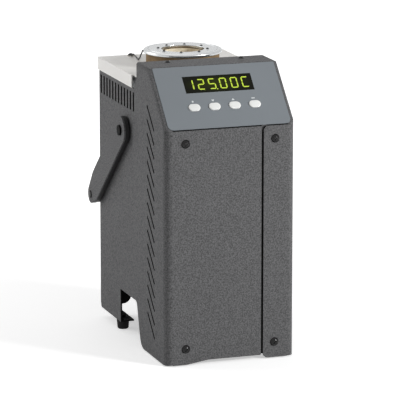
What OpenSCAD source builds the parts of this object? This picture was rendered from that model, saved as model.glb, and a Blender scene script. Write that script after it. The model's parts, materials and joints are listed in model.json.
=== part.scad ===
// Dry block heater: a portable metal-block heater with one deep well, a removable
// multi-hole insert, a sloping console and a bail handle.
// Millimetres. X is to the right, Y to the back and Z up. The origin is at the
// bottom centre of the whole box, the handle included.
// Sizes are measured from the case datum: the bottom centre of the case's front face.

/* [Case] */
// Width of the case
body_w = 121.4; // [115:0.1:135]
// Depth of the case
body_d = 194; // [190:0.5:215]
// Height of the front face, up to the console
front_h = 212.5; // [205:0.5:240]
// Thickness of the painted steel sheet
sheet_t = 1.5; // [1:0.1:1.8]
// Outer radius of the upright front bends
bend_r = 7; // [4:0.5:9]
// Place of the front seam, right of the middle
seam_x = 30; // [20:1:34]
// Width of the front seam
seam_gap = 2; // [1.5:0.1:3]
// Radius of the right cover's corners at the seam
seam_corner_r = 4.5; // [1:0.5:8]
// Gap between the sheets of the case
sheet_gap = 0.2; // [0.1:0.05:0.4]
// Height of the covers' lower edge above the floor
cover_lift = 1; // [0.5:0.1:2]
// Height of the raised lower edge of the left cover's front
front_raise = 4; // [2:0.5:8]
// Width of the left cover's flat foot, past the bend
foot_flat = 13; // [8:1:20]
// Width of the slope from the foot up to the raised edge
foot_slope = 20; // [10:1:30]

/* [Console] */
// Angle of the console
console_angle = 45; // [40:1:50]
// Horizontal depth of the console's slope
console_run = 48.5; // [46:0.5:56]
// Depth of the level strip behind the slope
top_strip = 32.5; // [28:0.5:40]
// Outer radius of the console's rolled ends
console_roll = 2.5; // [2:0.1:3.5]
// Depth of the console's inner flanges
console_flange = 12; // [8:1:16]
// Width of the overlay
overlay_w = 114; // [108:0.5:116]
// Thickness of the overlay
overlay_t = 0.5; // [0.3:0.1:0.8]
// Radius of the overlay's lower corners
overlay_r = 5; // [1:0.5:8]
// Margin of the overlay at the console's lower and upper edges
overlay_margin = 1; // [0.6:0.2:2]

/* [Display and buttons] */
// Width of the display window
window_w = 64; // [56:0.5:70]
// Height of the display window, along the slope
window_h = 18; // [15:0.5:19]
// Middle of the display window, up the slope
window_s = 47.7; // [46:0.1:51]
// Number of display digits
digit_count = 6; // [4:1:6]
// Distance between neighbouring digits
digit_pitch = 10.2; // [9:0.1:10.6]
// Width of a button
button_w = 11; // [9:0.1:13]
// Height of a button, along the slope
button_h = 7.4; // [6:0.1:9]
// Distance between neighbouring buttons
button_pitch = 18.8; // [17:0.1:22]
// Middle of the buttons, up the slope
button_s = 23.2; // [18:0.1:25]
// Height of a button above the overlay
button_proud = 1.3; // [1.1:0.1:2]
// Travel of a button
button_travel = 1; // [0.5:0.1:1]
// Gap round a button in its hole
button_gap = 0.25; // [0.15:0.05:0.4]

/* [Vents and arches] */
// Number of upright vent slots on each side
vent_count = 12; // [8:1:13]
// Distance between vent slots
vent_pitch = 8.84; // [7.5:0.02:9]
// Width of a vent slot
vent_w = 4; // [3:0.1:5]
// Length of a vent slot
vent_l = 17.4; // [12:0.2:20]
// Place of the vent slot nearest the front
vent_y = 90; // [88:0.5:94]
// Distance of the vent slots below the top cover's rim
vent_drop = 4; // [3:0.5:8]
// Number of 45 degree slits on each side
slit_count = 16; // [10:1:16]
// Distance between slits
slit_pitch = 12.6; // [11:0.1:13]
// Width of a slit
slit_w = 2.5; // [1.5:0.1:3]
// Run of a slit, front to back
slit_run = 20; // [14:0.5:22]
// Place of the slits' front end
slit_y = 31; // [26:0.5:34]
// Height of the highest slit's front end
slit_top_z = 207.5; // [200:0.5:210]
// Height of the arch
arch_h = 41; // [30:0.5:42]
// Front edge of the arch at its top
arch_front = 83; // [78:0.5:90]
// Front edge of the arch at its foot
arch_foot = 71; // [60:0.5:74]
// Rear edge of the arch
arch_rear = 131.5; // [120:0.5:140]
// Radius of the arch's front corner
arch_r = 5; // [1:0.5:8]
// Height of the covers' rear lower edge
rear_lift = 9.5; // [7:0.5:12]
// Width of the return flange under the covers' rear
return_w = 13; // [11:0.5:20]
// Depth of the deck above the arch
deck_rise = 3; // [2:0.5:6]

/* [Top cover] */
// Height of the top cover above the floor
cover_z = 247.7; // [245:0.1:250]
// Depth of the top cover's rim
rim_h = 11.7; // [8:0.1:16]
// Thickness of the top cover
cover_t = 1; // [0.8:0.1:1.5]
// Distance that the top cover stands out past the case
cover_proud = 0.1; // [0:0.05:0.2]
// Gap between the console and the front end of the rim
rim_start = 11; // [8:0.5:16]
// Distance of the cover screws from the middle
cover_screw_x = 32; // [20:1:45]
// Distance of the cover screws from the rear edge
cover_screw_inset = 6.5; // [5:0.5:10]

/* [Well and block] */
// Distance of the well's axis behind the front face
well_y = 131.5; // [129:0.5:136]
// Diameter of the stainless ring
ring_d = 72; // [66:0.5:76]
// Thickness of the stainless ring
ring_t = 3; // [2:0.1:4]
// Diameter of the ring's opening
ring_bore_d = 39; // [38.5:0.1:40.5]
// Height of the ring's top above the top cover
ring_rise = 14.5; // [10:0.1:18]
// Number of ring screws
ring_screw_count = 8; // [4:1:8]
// Pitch circle of the ring screws
ring_screw_pcd = 45; // [45:0.5:50]
// Diameter of the collar above the cover
collar_d = 67; // [60:0.5:70]
// Diameter of the collar where it passes the cover
collar_neck_d = 60; // [56:0.5:64]
// Diameter of the collar's bore
collar_bore_d = 37; // [35:0.1:38]
// Diameter of the heater block
block_d = 62; // [60:0.5:66]
// Height of the heater block
block_h = 148; // [146:1:150]
// Diameter of the well
well_d = 31.9; // [30:0.1:32]
// Thickness of the well's floor
well_floor = 12; // [8:0.5:16]
// Radial gap between the insert and the well
insert_gap = 0.08; // [0.05:0.01:0.1]
// Length of the insert
insert_l = 150; // [140:0.5:152]
// Diameters of the probe holes in the insert
probe_d = [9.6, 6.5, 6.5, 4.9, 3.3];
// Pitch circle of the probe holes
probe_pcd = 18.6; // [17.6:0.1:19]
// Depth of the widest probe hole
probe_depth = 140; // [100:1:142]
// Step by which each next probe hole is less deep, as thin probes are shorter
probe_step = 1; // [0.5:0.5:4]
// Diameter of a heater cartridge
cartridge_d = 9.5; // [8:0.1:10]
// Length of a heater cartridge
cartridge_l = 130; // [80:1:140]
// Pitch circle of the cartridges and sensors
cartridge_pcd = 46.6; // [44:0.1:48]
// Diameter of a sensor
sensor_d = 4.8; // [3:0.1:6]
// Gap round the cartridges and sensors
seat_gap = 0.05; // [0.03:0.01:0.08]
// Thickness of the insulation round the block
jacket_t = 17; // [12:0.5:17]
// Thickness of the shield round the insulation
shield_t = 1; // [0.8:0.1:1.5]

/* [Fan] */
// Width of the fan frame
fan_w = 80; // [76:1:82]
// Height of the fan frame
fan_h = 25; // [20:1:26]
// Distance between the fan's mounting holes
fan_hole_pitch = 71.5; // [68:0.5:72]
// Number of fan blades
blade_count = 7; // [5:1:9]
// Diameter of the fan's hub
hub_d = 34; // [28:1:38]
// Gap between blade tips and frame
tip_gap = 1; // [0.6:0.1:1.5]

/* [Handle] */
// Place of the handle's pivot behind the front face
pivot_y = 109.8; // [106:0.1:112]
// Height of the handle's pivot
pivot_z = 194.5; // [190:0.1:198]
// Distance from the pivot to the grip's axis
handle_reach = 121.2; // [119:0.1:126]
// Thickness of the outer arm
arm_t = 1.5; // [1.2:0.1:2]
// Thickness of the arm's liner
liner_t = 3.7; // [3:0.1:5]
// Half width of the arm at the pivot
arm_r = 12.8; // [11:0.1:14]
// Half width of the arm at its end
arm_end_r = 8.4; // [8:0.1:10]
// Length over which the arm narrows to its end
arm_taper = 14; // [10:0.5:20]
// Diameter of the grip
grip_d = 16; // [12:0.5:16.5]
// Gap between the resting grip and the rear panel
grip_rest_gap = 0.4; // [0.3:0.1:1]
// Diameter of the pivot pins
pivot_d = 8; // [6:0.1:10]
// Radial gap between the pivot pins and the arms
pivot_gap = 0.05; // [0.03:0.01:0.09]
// Side gap between the arms and what is beside them
arm_gap = 0.3; // [0.25:0.05:0.5]

/* [Fasteners] */
// Diameter of the case screws' heads
head_d = 7.9; // [7:0.1:9]
// Height of the case screws' heads
head_h = 2.5; // [2:0.1:3]
// Thread diameter of the case screws
thread_d = 4; // [3:0.1:4.5]
// Distance of the front screws from the middle
front_screw_x = 41.7; // [39:0.1:43]
// Height of the lower front screws
front_screw_low = 15.3; // [13:0.1:20]
// Distance of the upper front screws below the console
front_screw_drop = 11.9; // [10:0.1:14]
// Distance of the console screws from the middle
console_screw_x = 34.8; // [30:0.1:45]
// Distance of the console screws behind the slope
console_screw_y = 23; // [18:0.5:25]

/* [Feet] */
// Diameter of a rubber foot
foot_d = 12; // [10:0.5:14]
// Distance of the front feet behind the front face
front_foot_y = 14; // [11:0.5:20]
// Distance of the rear feet ahead of the rear face
rear_foot_y = 49; // [40:0.5:54]

/* [Hidden] */

$fn = 48;

// Colours
paint_grey = [0.37, 0.36, 0.36];
inner_black = [0.12, 0.12, 0.12];
cover_cream = [0.80, 0.79, 0.77];
overlay_blue = [0.48, 0.51, 0.53];
button_white = [0.90, 0.91, 0.89];
steel = [0.72, 0.73, 0.74];
screw_black = [0.08, 0.08, 0.09];
tan_board = [0.66, 0.54, 0.38];
bronze = [0.70, 0.56, 0.33];
board_green = [0.10, 0.35, 0.20];
plastic_black = [0.06, 0.06, 0.06];
fibre_white = [0.92, 0.91, 0.88];

// Half the case's width, outside and inside the sheet
half_w = body_w / 2;
inner_w = half_w - sheet_t;
// Places along the console
slope_len = console_run / cos(console_angle);
console_rise = console_run * tan(console_angle);
console_z = front_h + console_rise;
console_rear = console_run + top_strip;
// Depth of the console's hemmed sides, past the rolled edge
roll_depth = console_roll + 0.3;
// Inner faces of the rear: the covers' rear flanges, then the rear panel
rear_inner = body_d - 2 * sheet_t;
flange_w = 12;
// The deck above the arches and the sides' upper edge under the rim
deck_z = arch_h + deck_rise;
deck_top = deck_z + sheet_t;
rim_z = cover_z - rim_h;
side_top = rim_z - sheet_gap;
notch_run = rim_start - 4;
// The bulkhead between the electronics and the block
bulkhead_y = console_rear - 2 * sheet_t;
// The top cover's outer faces
cover_half_w = half_w + cover_t + cover_proud;
cover_rear = body_d + cover_t + cover_proud;
// The well's stack, from the block up
ring_z = cover_z + ring_rise - ring_t;
block_top = cover_z - cover_t - 6.7;
block_z = block_top - block_h;
well_z = block_z + well_floor;
jacket_floor = 8;
jacket_d = block_d + 2 * jacket_t;
shield_d = jacket_d + 2 * shield_t;
shield_z = block_z - jacket_floor - shield_t;
standoff_r = shield_d / 2 - 4;
cartridge_angles = [0, 90, 180, 270];
control_angle = 45;
cutout_angle = 225;
cutout_l = cartridge_l - 50;
// The fan stands on the deck
fan_bore_d = fan_w - 4;
rotor_z = deck_top + 3;
rotor_h = fan_h - 8;
shaft_d = 3;
// The handle
arm_in = cover_half_w + arm_gap;
arm_mid = arm_in + liner_t;
arm_out = arm_mid + arm_t;
handle_angle = -acos((body_d + grip_rest_gap + grip_d / 2 - pivot_y) / handle_reach);
grip_y = pivot_y + handle_reach * cos(handle_angle);
// The origin stands midway between the front screws' heads and the arms' rear ends
mid_y = (grip_y + arm_end_r - head_h) / 2;
// Buttons and what is behind the console
button_flange_t = 1;
button_flange_w = 1.2;
button_rest_gap = 0.1;
plunger_top = -sheet_t - button_rest_gap - button_flange_t - button_travel - 0.1;
board_t = 1.6;
board_top = plunger_top - 3.5;
module_depth = -sheet_t - board_top;
// Rear panel fittings, from its left seen from behind
inlet_x = 22;
inlet_z = 72;
inlet_w = 28;
inlet_h = 20;
fuse_w = 22;
fuse_h = 10;
fuse_drop = 4;
switch_x = -14;
switch_w = 13.6;
switch_h = 19.6;
rocker_tilt = 8;
port_x = -40;
port_z = inlet_z;
rear_screw_x = inner_w - flange_w / 2;
rear_screw_zs = [22, 140, side_top - 10];
// The power board, standing ahead of the bulkhead
board_stand = 10;
power_board_w = 88;
power_board_z = deck_top + 16;
power_board_h = 124;
power_board_y = bulkhead_y - board_stand - board_t;
// The bonding lead and its tag
lead_d = 1.2;
tag_t = 0.8;

// Corner c between a and e, as points on an arc of radius r
function unit(v) = v / norm(v);
function corner_arc(a, c, e, r, steps = 6) =
    let (u = unit(a - c), v = unit(e - c), half = acos(u * v) / 2,
         centre = c + unit(u + v) * r / sin(half), sweep = 180 - 2 * half,
         from = c + u * r / tan(half) - centre, to = c + v * r / tan(half) - centre)
    [for (i = [0:steps]) let (k = i / steps)
        centre + (sin((1 - k) * sweep) * from + sin(k * sweep) * to) / sin(sweep)];

// An outline with rounded corners: each corner is [x, y, radius]
function rounded(corners) = [for (i = [0:len(corners) - 1])
    let (n = len(corners), p = corners[i], a = corners[(i + n - 1) % n], e = corners[(i + 1) % n],
         at = [p[0], p[1]])
    each p[2] == 0 ? [at] : corner_arc([a[0], a[1]], at, [e[0], e[1]], p[2])];

// Moves a piece from the case datum to the part's origin
module from_front() {
    translate([0, -mid_y, 0]) children();
}

// Carries an outline drawn in Y and Z along X
module along_x(x0, x1) {
    translate([x0, 0, 0]) rotate([90, 0, 90]) linear_extrude(x1 - x0) children();
}

// Carries an outline drawn in X and Z along Y
module along_y(y0, y1) {
    translate([0, y1, 0]) rotate([90, 0, 0]) linear_extrude(y1 - y0) children();
}

// The console's frame: x across, y up the slope and z out of it
module on_slope() {
    translate([0, 0, front_h]) rotate([console_angle, 0, 0]) children();
}

module box(x0, x1, y0, y1, z0, z1) {
    translate([x0, y0, z0]) cube([x1 - x0, y1 - y0, z1 - z0]);
}

// A pill outline, w wide and h high
module pill(w, h) {
    square([w - h, h], center = true);
    for (s = [-1, 1]) translate([s * (w - h) / 2, 0]) circle(d = h);
}

// A screw with a domed head on z = 0, its shank down -Z, with a cross recess
module dome_screw(d, h, shank, len) {
    dome = (d * d / 4 + h * h) / (2 * h);
    difference() {
        union() {
            rotate_extrude() intersection() {
                translate([0, h - dome]) circle(dome);
                square([d / 2, h]);
            }
            translate([0, 0, -len]) cylinder(d = shank, h = len);
        }
        for (a = [45, 135]) rotate([0, 0, a])
            translate([-d * 0.25, -d * 0.055, h - 1]) cube([d * 0.5, d * 0.11, 2]);
    }
}

// Side view of a side sheet: cheek under the console, rim line, rear, arch and leg
module side_outline() {
    drop = roll_depth + sheet_gap;
    slope_drop = drop / cos(console_angle);
    polygon(rounded([
        [0, cover_lift, 2],
        [0, front_h - slope_drop, 0],
        [console_run + drop * tan(console_angle / 2), console_z - drop, 0],
        [console_rear - sheet_gap, console_z - drop, 0],
        [console_rear - sheet_gap, cover_z - cover_t, 0],
        [console_rear + notch_run, side_top, 0],
        [body_d - sheet_t, side_top, 0],
        [body_d - sheet_t, rear_lift, 3],
        [arch_rear, rear_lift, 0],
        [arch_rear, arch_h, 0],
        [arch_front, arch_h, arch_r],
        [arch_foot, cover_lift, 12]]));
}

// Vent slots and slits of a side sheet, drawn in Y and Z
module vent_outlines() {
    for (i = [0:vent_count - 1])
        translate([vent_y - vent_w / 2 + i * vent_pitch, rim_z - vent_drop - vent_l])
            square([vent_w, vent_l]);
    for (i = [0:slit_count - 1])
        translate([slit_y, slit_top_z - i * slit_pitch]) rotate(45)
            translate([0, -slit_w / 2]) square([slit_run * sqrt(2), slit_w]);
}

// Plan of the side sheet and its front bend, for the left-hand cover
module side_plan() {
    translate([-half_w, bend_r]) square([sheet_t, body_d - sheet_t - bend_r]);
    translate([-half_w + bend_r, bend_r]) intersection() {
        difference() {
            circle(bend_r);
            circle(bend_r - sheet_t);
        }
        translate([-bend_r, -bend_r]) square(bend_r);
    }
}

// A left-hand cover without its front: side, bend, rear flange and return flange
module cover_side() {
    difference() {
        intersection() {
            linear_extrude(console_z) side_plan();
            along_x(-half_w - 1, -half_w + bend_r + 1) side_outline();
        }
        along_x(-half_w - 1, -inner_w + 1) vent_outlines();
        translate([-half_w - 1, pivot_y, pivot_z]) rotate([0, 90, 0])
            cylinder(d = pivot_d, h = sheet_t + 2);
    }
    difference() {
        box(-inner_w - 0.01, -inner_w + flange_w, rear_inner, rear_inner + sheet_t, rear_lift, side_top);
        for (z = rear_screw_zs) translate([-rear_screw_x, rear_inner - 1, z]) rotate([-90, 0, 0])
            cylinder(d = thread_d, h = sheet_t + 2);
    }
    difference() {
        box(-inner_w - 0.01, -half_w + return_w, arch_rear, rear_inner, rear_lift, rear_lift + sheet_t);
        translate([-inner_w + foot_d / 2 - 1, body_d - rear_foot_y, rear_lift - 1])
            cylinder(d = thread_d, h = sheet_t + 2);
    }
}

// A front sheet from an outline in X and Z, with its top edge bevelled to the slope
module front_sheet() {
    difference() {
        intersection() {
            along_y(0, sheet_t) children();
            along_x(-half_w, half_w) polygon([
                [0, 0], [0, front_h - sheet_gap],
                [sheet_t, front_h - sheet_gap + sheet_t * tan(console_angle)], [sheet_t, 0]]);
        }
        front_screw_places() translate([0, 0, -sheet_t - 1]) cylinder(d = thread_d, h = sheet_t + 2);
    }
}

module left_cover() color(paint_grey) from_front() {
    cover_side();
    left = -half_w + bend_r;
    right = seam_x - seam_gap / 2;
    front_sheet() polygon(rounded([
        [left - 0.01, cover_lift, 0],
        [left + foot_flat, cover_lift, 6],
        [left + foot_flat + foot_slope, front_raise, 6],
        [right, front_raise, 1],
        [right, front_h + sheet_t * 2, 0],
        [left - 0.01, front_h + sheet_t * 2, 0]]));
}

module right_cover() color(paint_grey) from_front() {
    mirror([1, 0, 0]) cover_side();
    left = seam_x + seam_gap / 2;
    right = half_w - bend_r;
    front_sheet() polygon(rounded([
        [left, cover_lift, seam_corner_r],
        [right + 0.01, cover_lift, 0],
        [right + 0.01, front_h + sheet_t * 2, 0],
        [left + seam_corner_r, front_h + sheet_t * 2, 0],
        [left + seam_corner_r, front_h - sheet_gap, 0],
        [left, front_h - sheet_gap, seam_corner_r - 0.1]]));
}

// Places of the front screws, with z pointing out of the front
module front_screw_places() {
    for (x = [-1, 1], z = [front_screw_low, front_h - front_screw_drop])
        translate([x * front_screw_x, 0, z]) rotate([90, 0, 0]) children();
}

// The inner front: a sheet behind the seam with a window, and a foot shelf at its bottom
module front_frame() color(inner_black) from_front() {
    difference() {
        union() {
            along_y(sheet_t, 2 * sheet_t) difference() {
                polygon(rounded([
                    [-half_w + bend_r, front_raise + 1, 2], [half_w - bend_r, front_raise + 1, 2],
                    [half_w - bend_r, front_h - 4 * sheet_t, 2],
                    [-half_w + bend_r, front_h - 4 * sheet_t, 2]]));
                polygon(rounded([
                    [-half_w + bend_r + 16, 60, 5], [seam_x - 8, 60, 5],
                    [seam_x - 8, front_h - 40, 5], [-half_w + bend_r + 16, front_h - 40, 5]]));
            }
            box(-half_w + bend_r, half_w - bend_r, sheet_t, front_foot_y + foot_d, rear_lift,
                rear_lift + sheet_t);
            for (s = [-1, 1])
                box(s * (half_w - bend_r - sheet_t / 2) - sheet_t / 2,
                    s * (half_w - bend_r - sheet_t / 2) + sheet_t / 2,
                    sheet_t, front_foot_y + foot_d, rear_lift, deck_z);
        }
        front_screw_places() translate([0, 0, -12]) cylinder(d = thread_d, h = 11);
        for (s = [-1, 1]) translate([s * (half_w - bend_r - foot_d / 2 - 2), front_foot_y, rear_lift - 1])
            cylinder(d = thread_d, h = sheet_t + 2);
    }
}

// The deck above the arches: it carries the fan, the block and the bulkhead
module fan_deck() color(inner_black) from_front() {
    difference() {
        union() {
            box(-inner_w, inner_w, 2 * sheet_t + bend_r, rear_inner, deck_z, deck_top);
            box(-half_w + bend_r, half_w - bend_r, 2 * sheet_t, 3 * sheet_t + bend_r, deck_z, deck_top);
            box(-inner_w + 1, inner_w - 1, rear_inner - sheet_t, rear_inner, deck_z, deck_top + 12);
            for (s = [-1, 1]) box(s * (inner_w - sheet_t / 2) - sheet_t / 2,
                s * (inner_w - sheet_t / 2) + sheet_t / 2,
                bulkhead_y + sheet_t + sheet_gap, rear_inner, deck_z, deck_top + 12);
        }
        translate([0, well_y, deck_z - 1]) cylinder(d = fan_bore_d, h = sheet_t + 2);
        for (x = [-1, 1], y = [-1, 1])
            translate([x * fan_hole_pitch / 2, well_y + y * fan_hole_pitch / 2, deck_z - 1])
                cylinder(d = thread_d, h = sheet_t + 2);
        // Notch in the rear lip for the fuse drawer
        box(inlet_x - fuse_w / 2 - 1, inlet_x + fuse_w / 2 + 1, rear_inner - sheet_t - 1, rear_inner + 1,
            inlet_z - inlet_h / 2 - fuse_drop - fuse_h - 1, deck_top + 13);
    }
}

// The wall between the electronics and the hot block
module bulkhead() color(steel) from_front() {
    width = inner_w - sheet_t;
    difference() {
        box(-width, width, bulkhead_y, bulkhead_y + sheet_t, deck_top, console_z - console_flange - 6);
        for (x = [-1, 1]) translate([x * 30, bulkhead_y - 1, deck_top + 12]) rotate([-90, 0, 0])
            cylinder(d = 12, h = sheet_t + 2);
    }
    for (s = [-1, 1]) box(s * (width + sheet_t / 2) - sheet_t / 2, s * (width + sheet_t / 2) + sheet_t / 2,
        bulkhead_y - 10, bulkhead_y + sheet_t, deck_top, console_z - console_flange - 20);
    box(-width, width, bulkhead_y - 10, bulkhead_y, deck_top, deck_top + sheet_t);
}

// The rear panel: two legs at the bottom, an air cut-out between them, and the fittings' holes
module rear_panel() color(inner_black) from_front() {
    leg_in = 31;
    width = half_w - sheet_gap;
    panel_top = rim_z + 4;
    difference() {
        along_y(body_d - sheet_t, body_d) polygon(rounded([
            [-width, rear_lift + 1, 3], [-leg_in, rear_lift + 1, 8],
            [-leg_in, arch_h, 8], [leg_in, arch_h, 8],
            [leg_in, rear_lift + 1, 8], [width, rear_lift + 1, 3],
            [width, panel_top, 0], [-width, panel_top, 0]]));
        along_y(body_d - sheet_t - 1, body_d + 1) {
            translate([inlet_x, inlet_z]) square([inlet_w, inlet_h], center = true);
            translate([inlet_x, inlet_z - inlet_h / 2 - fuse_drop - fuse_h / 2])
                square([fuse_w + 2, fuse_h + 2], center = true);
            translate([switch_x, inlet_z]) square([switch_w, switch_h], center = true);
            translate([port_x, port_z]) square([9, 19], center = true);
        }
        rear_screw_places() translate([0, 0, -sheet_t - 1]) cylinder(d = thread_d, h = sheet_t + 2);
    }
}

// Places of the rear screws, with z pointing out of the rear
module rear_screw_places() {
    for (x = [-1, 1], z = rear_screw_zs)
        translate([x * rear_screw_x, body_d, z]) rotate([-90, 0, 0]) children();
}

// A block under one face of the console, seen along it: its upper edges are rolled to a radius
module rolled_section(radius) {
    depth = 60;
    translate([-half_w + radius, -depth]) square([body_w - 2 * radius, depth]);
    translate([-half_w, -depth]) square([body_w, depth - radius]);
    for (s = [-1, 1]) translate([s * (half_w - radius), -radius]) circle(radius);
}

// Side view of all that lies more than d under the console's faces
module deeper(d) {
    ahead = 30;
    polygon([
        [-ahead, 0], [-ahead, front_h - ahead * tan(console_angle) - d / cos(console_angle)],
        [console_run + d * tan(console_angle / 2), console_z - d],
        [console_rear + 1, console_z - d], [console_rear + 1, 0]]);
}

// The console's slope and strip: a sheet with hemmed sides and inner flanges.
// The strip's edges are rolled a little tighter than the slope's.
module console_sheet() {
    ahead = 20;
    difference() {
        intersection() {
            on_slope() translate([0, -ahead, 0]) mirror([0, 1, 0]) rotate([90, 0, 0])
                linear_extrude(slope_len + 4 * ahead) rolled_section(console_roll);
            translate([0, -ahead, console_z]) mirror([0, 1, 0]) rotate([90, 0, 0])
                linear_extrude(console_rear + ahead) rolled_section(console_roll - 0.1);
        }
        along_x(-inner_w + sheet_t, inner_w - sheet_t) deeper(sheet_t);
        along_x(-half_w - 1, -inner_w) deeper(roll_depth);
        along_x(inner_w, half_w + 1) deeper(roll_depth);
        along_x(-inner_w - 1, inner_w + 1) deeper(console_flange);
    }
}

// Plan of the console: it stands behind the front's thickness, and its corners follow the bends
module console_plan() {
    translate([-half_w, bend_r]) square([body_w, body_d]);
    intersection() {
        for (s = [-1, 1]) translate([s * (half_w - bend_r), bend_r]) circle(bend_r);
        difference() {
            translate([-half_w, 0]) square([body_w, bend_r + 1]);
            translate([-half_w + bend_r, -1]) square([body_w - 2 * bend_r, bend_r + 3]);
        }
    }
    translate([-half_w + bend_r - 0.5, sheet_t + sheet_gap]) square([body_w - 2 * bend_r + 1, bend_r]);
}

module console_panel() color(paint_grey) from_front() {
    bend_rear = bend_r + sheet_gap;
    difference() {
        union() {
            intersection() {
                console_sheet();
                translate([0, 0, front_h - 9]) linear_extrude(console_rise + 10) console_plan();
            }
            box(-half_w + console_roll, half_w - console_roll, console_rear - sheet_t, console_rear,
                cover_z, console_z - sheet_t / 2);
            box(-inner_w + 1, inner_w - 1, console_rear - sheet_t, console_rear,
                cover_z - 12, console_z - sheet_t / 2);
            box(-half_w + bend_r, half_w - bend_r, 2 * sheet_t, 3 * sheet_t, front_h - 18,
                front_h + 1.5 * sheet_t);
        }
        on_slope() {
            translate([-window_w / 2 + 2, window_s - window_h / 2 + 1.5, -3])
                cube([window_w - 4, window_h - 3, 5]);
            button_places() translate([0, 0, -3]) linear_extrude(5)
                pill(button_w + 2 * button_gap, button_h + 2 * button_gap);
        }
        // Room for the covers' bends under the hemmed sides
        for (side = [0, 1]) mirror([side, 0, 0]) intersection() {
            along_x(half_w - bend_r, half_w + 1) deeper(roll_depth + sheet_gap / 2);
            box(0, half_w + 1, -1, bend_rear, 0, console_z);
        }
        front_screw_places() translate([0, 0, -12]) cylinder(d = thread_d, h = 11);
        console_screw_places() translate([0, 0, -3]) cylinder(d = thread_d, h = 4);
    }
}

// Places of the buttons in the console's frame
module button_places() {
    for (i = [0:3]) translate([(i - 1.5) * button_pitch, button_s, 0]) children();
}

// Places of the screws in the top strip, with z up
module console_screw_places() {
    for (s = [-1, 1]) translate([s * console_screw_x, console_run + console_screw_y, console_z]) children();
}

module control_overlay() color(overlay_blue) from_front() on_slope() {
    low = overlay_margin;
    high = slope_len - overlay_margin;
    difference() {
        linear_extrude(overlay_t) polygon(rounded([
            [-overlay_w / 2, low, overlay_r], [overlay_w / 2, low, overlay_r],
            [overlay_w / 2, high, 1], [-overlay_w / 2, high, 1]]));
        translate([-window_w / 2, window_s - window_h / 2, -1]) cube([window_w, window_h, 3]);
        button_places() translate([0, 0, -1]) linear_extrude(3)
            pill(button_w + 2 * button_gap, button_h + 2 * button_gap);
    }
}

module display_window() color(plastic_black) from_front() on_slope() {
    translate([-window_w / 2, window_s - window_h / 2, 0]) cube([window_w, window_h, overlay_t - 0.1]);
}

// The digit block behind the window, standing on the control board
module display_module() color(plastic_black) from_front() on_slope() {
    width = digit_count * digit_pitch + 0.8;
    translate([-width / 2, window_s - window_h / 2 + 1, board_top])
        cube([width, window_h - 2, module_depth]);
}

// The control board: four push switches and standoffs up to the console sheet
module control_board() color(board_green) from_front() on_slope() {
    width = 100;
    low = 13;
    high = slope_len - 9;
    translate([-width / 2, low, board_top - board_t]) cube([width, high - low, board_t]);
    button_places() {
        translate([-3, -3, board_top]) cube([6, 6, 2.2]);
        translate([0, 0, board_top]) cylinder(d = 3, h = plunger_top - board_top);
    }
    for (s = [-1, 1], y = [low + 4, high - 4]) translate([s * (width / 2 - 4), y, board_top - 0.5])
        cylinder(d = 5, h = module_depth + 0.5);
}

// A push button: a pill cap with a softened edge, and a flange that holds it in
module push_button(i) {
    from_front() on_slope() translate([(i - 1.5) * button_pitch, button_s, 0]) {
        top = overlay_t + button_proud;
        translate([0, 0, -sheet_t - button_rest_gap - button_flange_t])
            linear_extrude(button_flange_t)
                pill(button_w + 2 * button_flange_w, button_h + 2 * button_flange_w);
        translate([0, 0, -sheet_t - button_rest_gap - 0.01])
            linear_extrude(top - 0.5 + sheet_t + button_rest_gap) pill(button_w, button_h);
        translate([0, 0, top - 0.6]) linear_extrude(0.6) pill(button_w - 0.8, button_h - 0.8);
    }
}

module button_set() color(button_white) push_button(0);
module button_down() color(button_white) push_button(1);
module button_up() color(button_white) push_button(2);
module button_exit() color(button_white) push_button(3);

// The light sheet-metal top: a plate with a rim down its sides and rear
module top_cover() color(cover_cream) from_front() {
    difference() {
        union() {
            box(-half_w + 1, half_w - 1, console_rear, console_rear + rim_start + 1, cover_z - cover_t,
                cover_z);
            difference() {
                box(-cover_half_w, cover_half_w, console_rear + rim_start, cover_rear, rim_z, cover_z);
                box(-cover_half_w + cover_t, cover_half_w - cover_t, console_rear, cover_rear - cover_t,
                    0, cover_z - cover_t);
            }
        }
        translate([0, well_y, cover_z - 5]) cylinder(d = collar_neck_d + 2 * sheet_gap, h = 10);
        cover_screw_places() translate([0, 0, -5]) cylinder(d = thread_d, h = 6);
    }
    // Tabs that carry the cover on the rear panel's top edge
    for (s = [-1, 1]) difference() {
        box(s * cover_screw_x - 8, s * cover_screw_x + 8, rear_inner - cover_screw_inset,
            body_d - sheet_t, rim_z - 6, cover_z - cover_t);
        translate([s * cover_screw_x, body_d - cover_screw_inset, 0]) cylinder(d = thread_d, h = cover_z);
    }
}

// Places of the top cover's screws, with z up
module cover_screw_places() {
    for (s = [-1, 1])
        translate([s * cover_screw_x, body_d - cover_screw_inset, cover_z + (s < 0 ? tag_t : 0)]) children();
}

// Places of the ring's screws, on the ring's top
module ring_screw_places() {
    for (i = [0:ring_screw_count - 1]) translate([0, well_y, ring_z + ring_t])
        rotate([0, 0, (i + 0.5) * 360 / ring_screw_count]) translate([ring_screw_pcd / 2, 0, 0]) children();
}

// The stainless ring round the well's mouth, with a softened outer edge
module well_flange() color(steel) from_front() {
    edge = 0.5;
    difference() {
        translate([0, well_y, ring_z]) rotate_extrude($fn = 96) polygon([
            [ring_bore_d / 2, 0], [ring_d / 2 - edge, 0], [ring_d / 2, edge],
            [ring_d / 2, ring_t - edge], [ring_d / 2 - edge, ring_t], [ring_bore_d / 2, ring_t]]);
        ring_screw_places() translate([0, 0, -ring_t - 1]) cylinder(d = 2, h = ring_t + 2);
    }
}

module flange_screws() color(screw_black) from_front() {
    ring_screw_places() dome_screw(2.8, 0.9, 2, 10);
}

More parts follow.
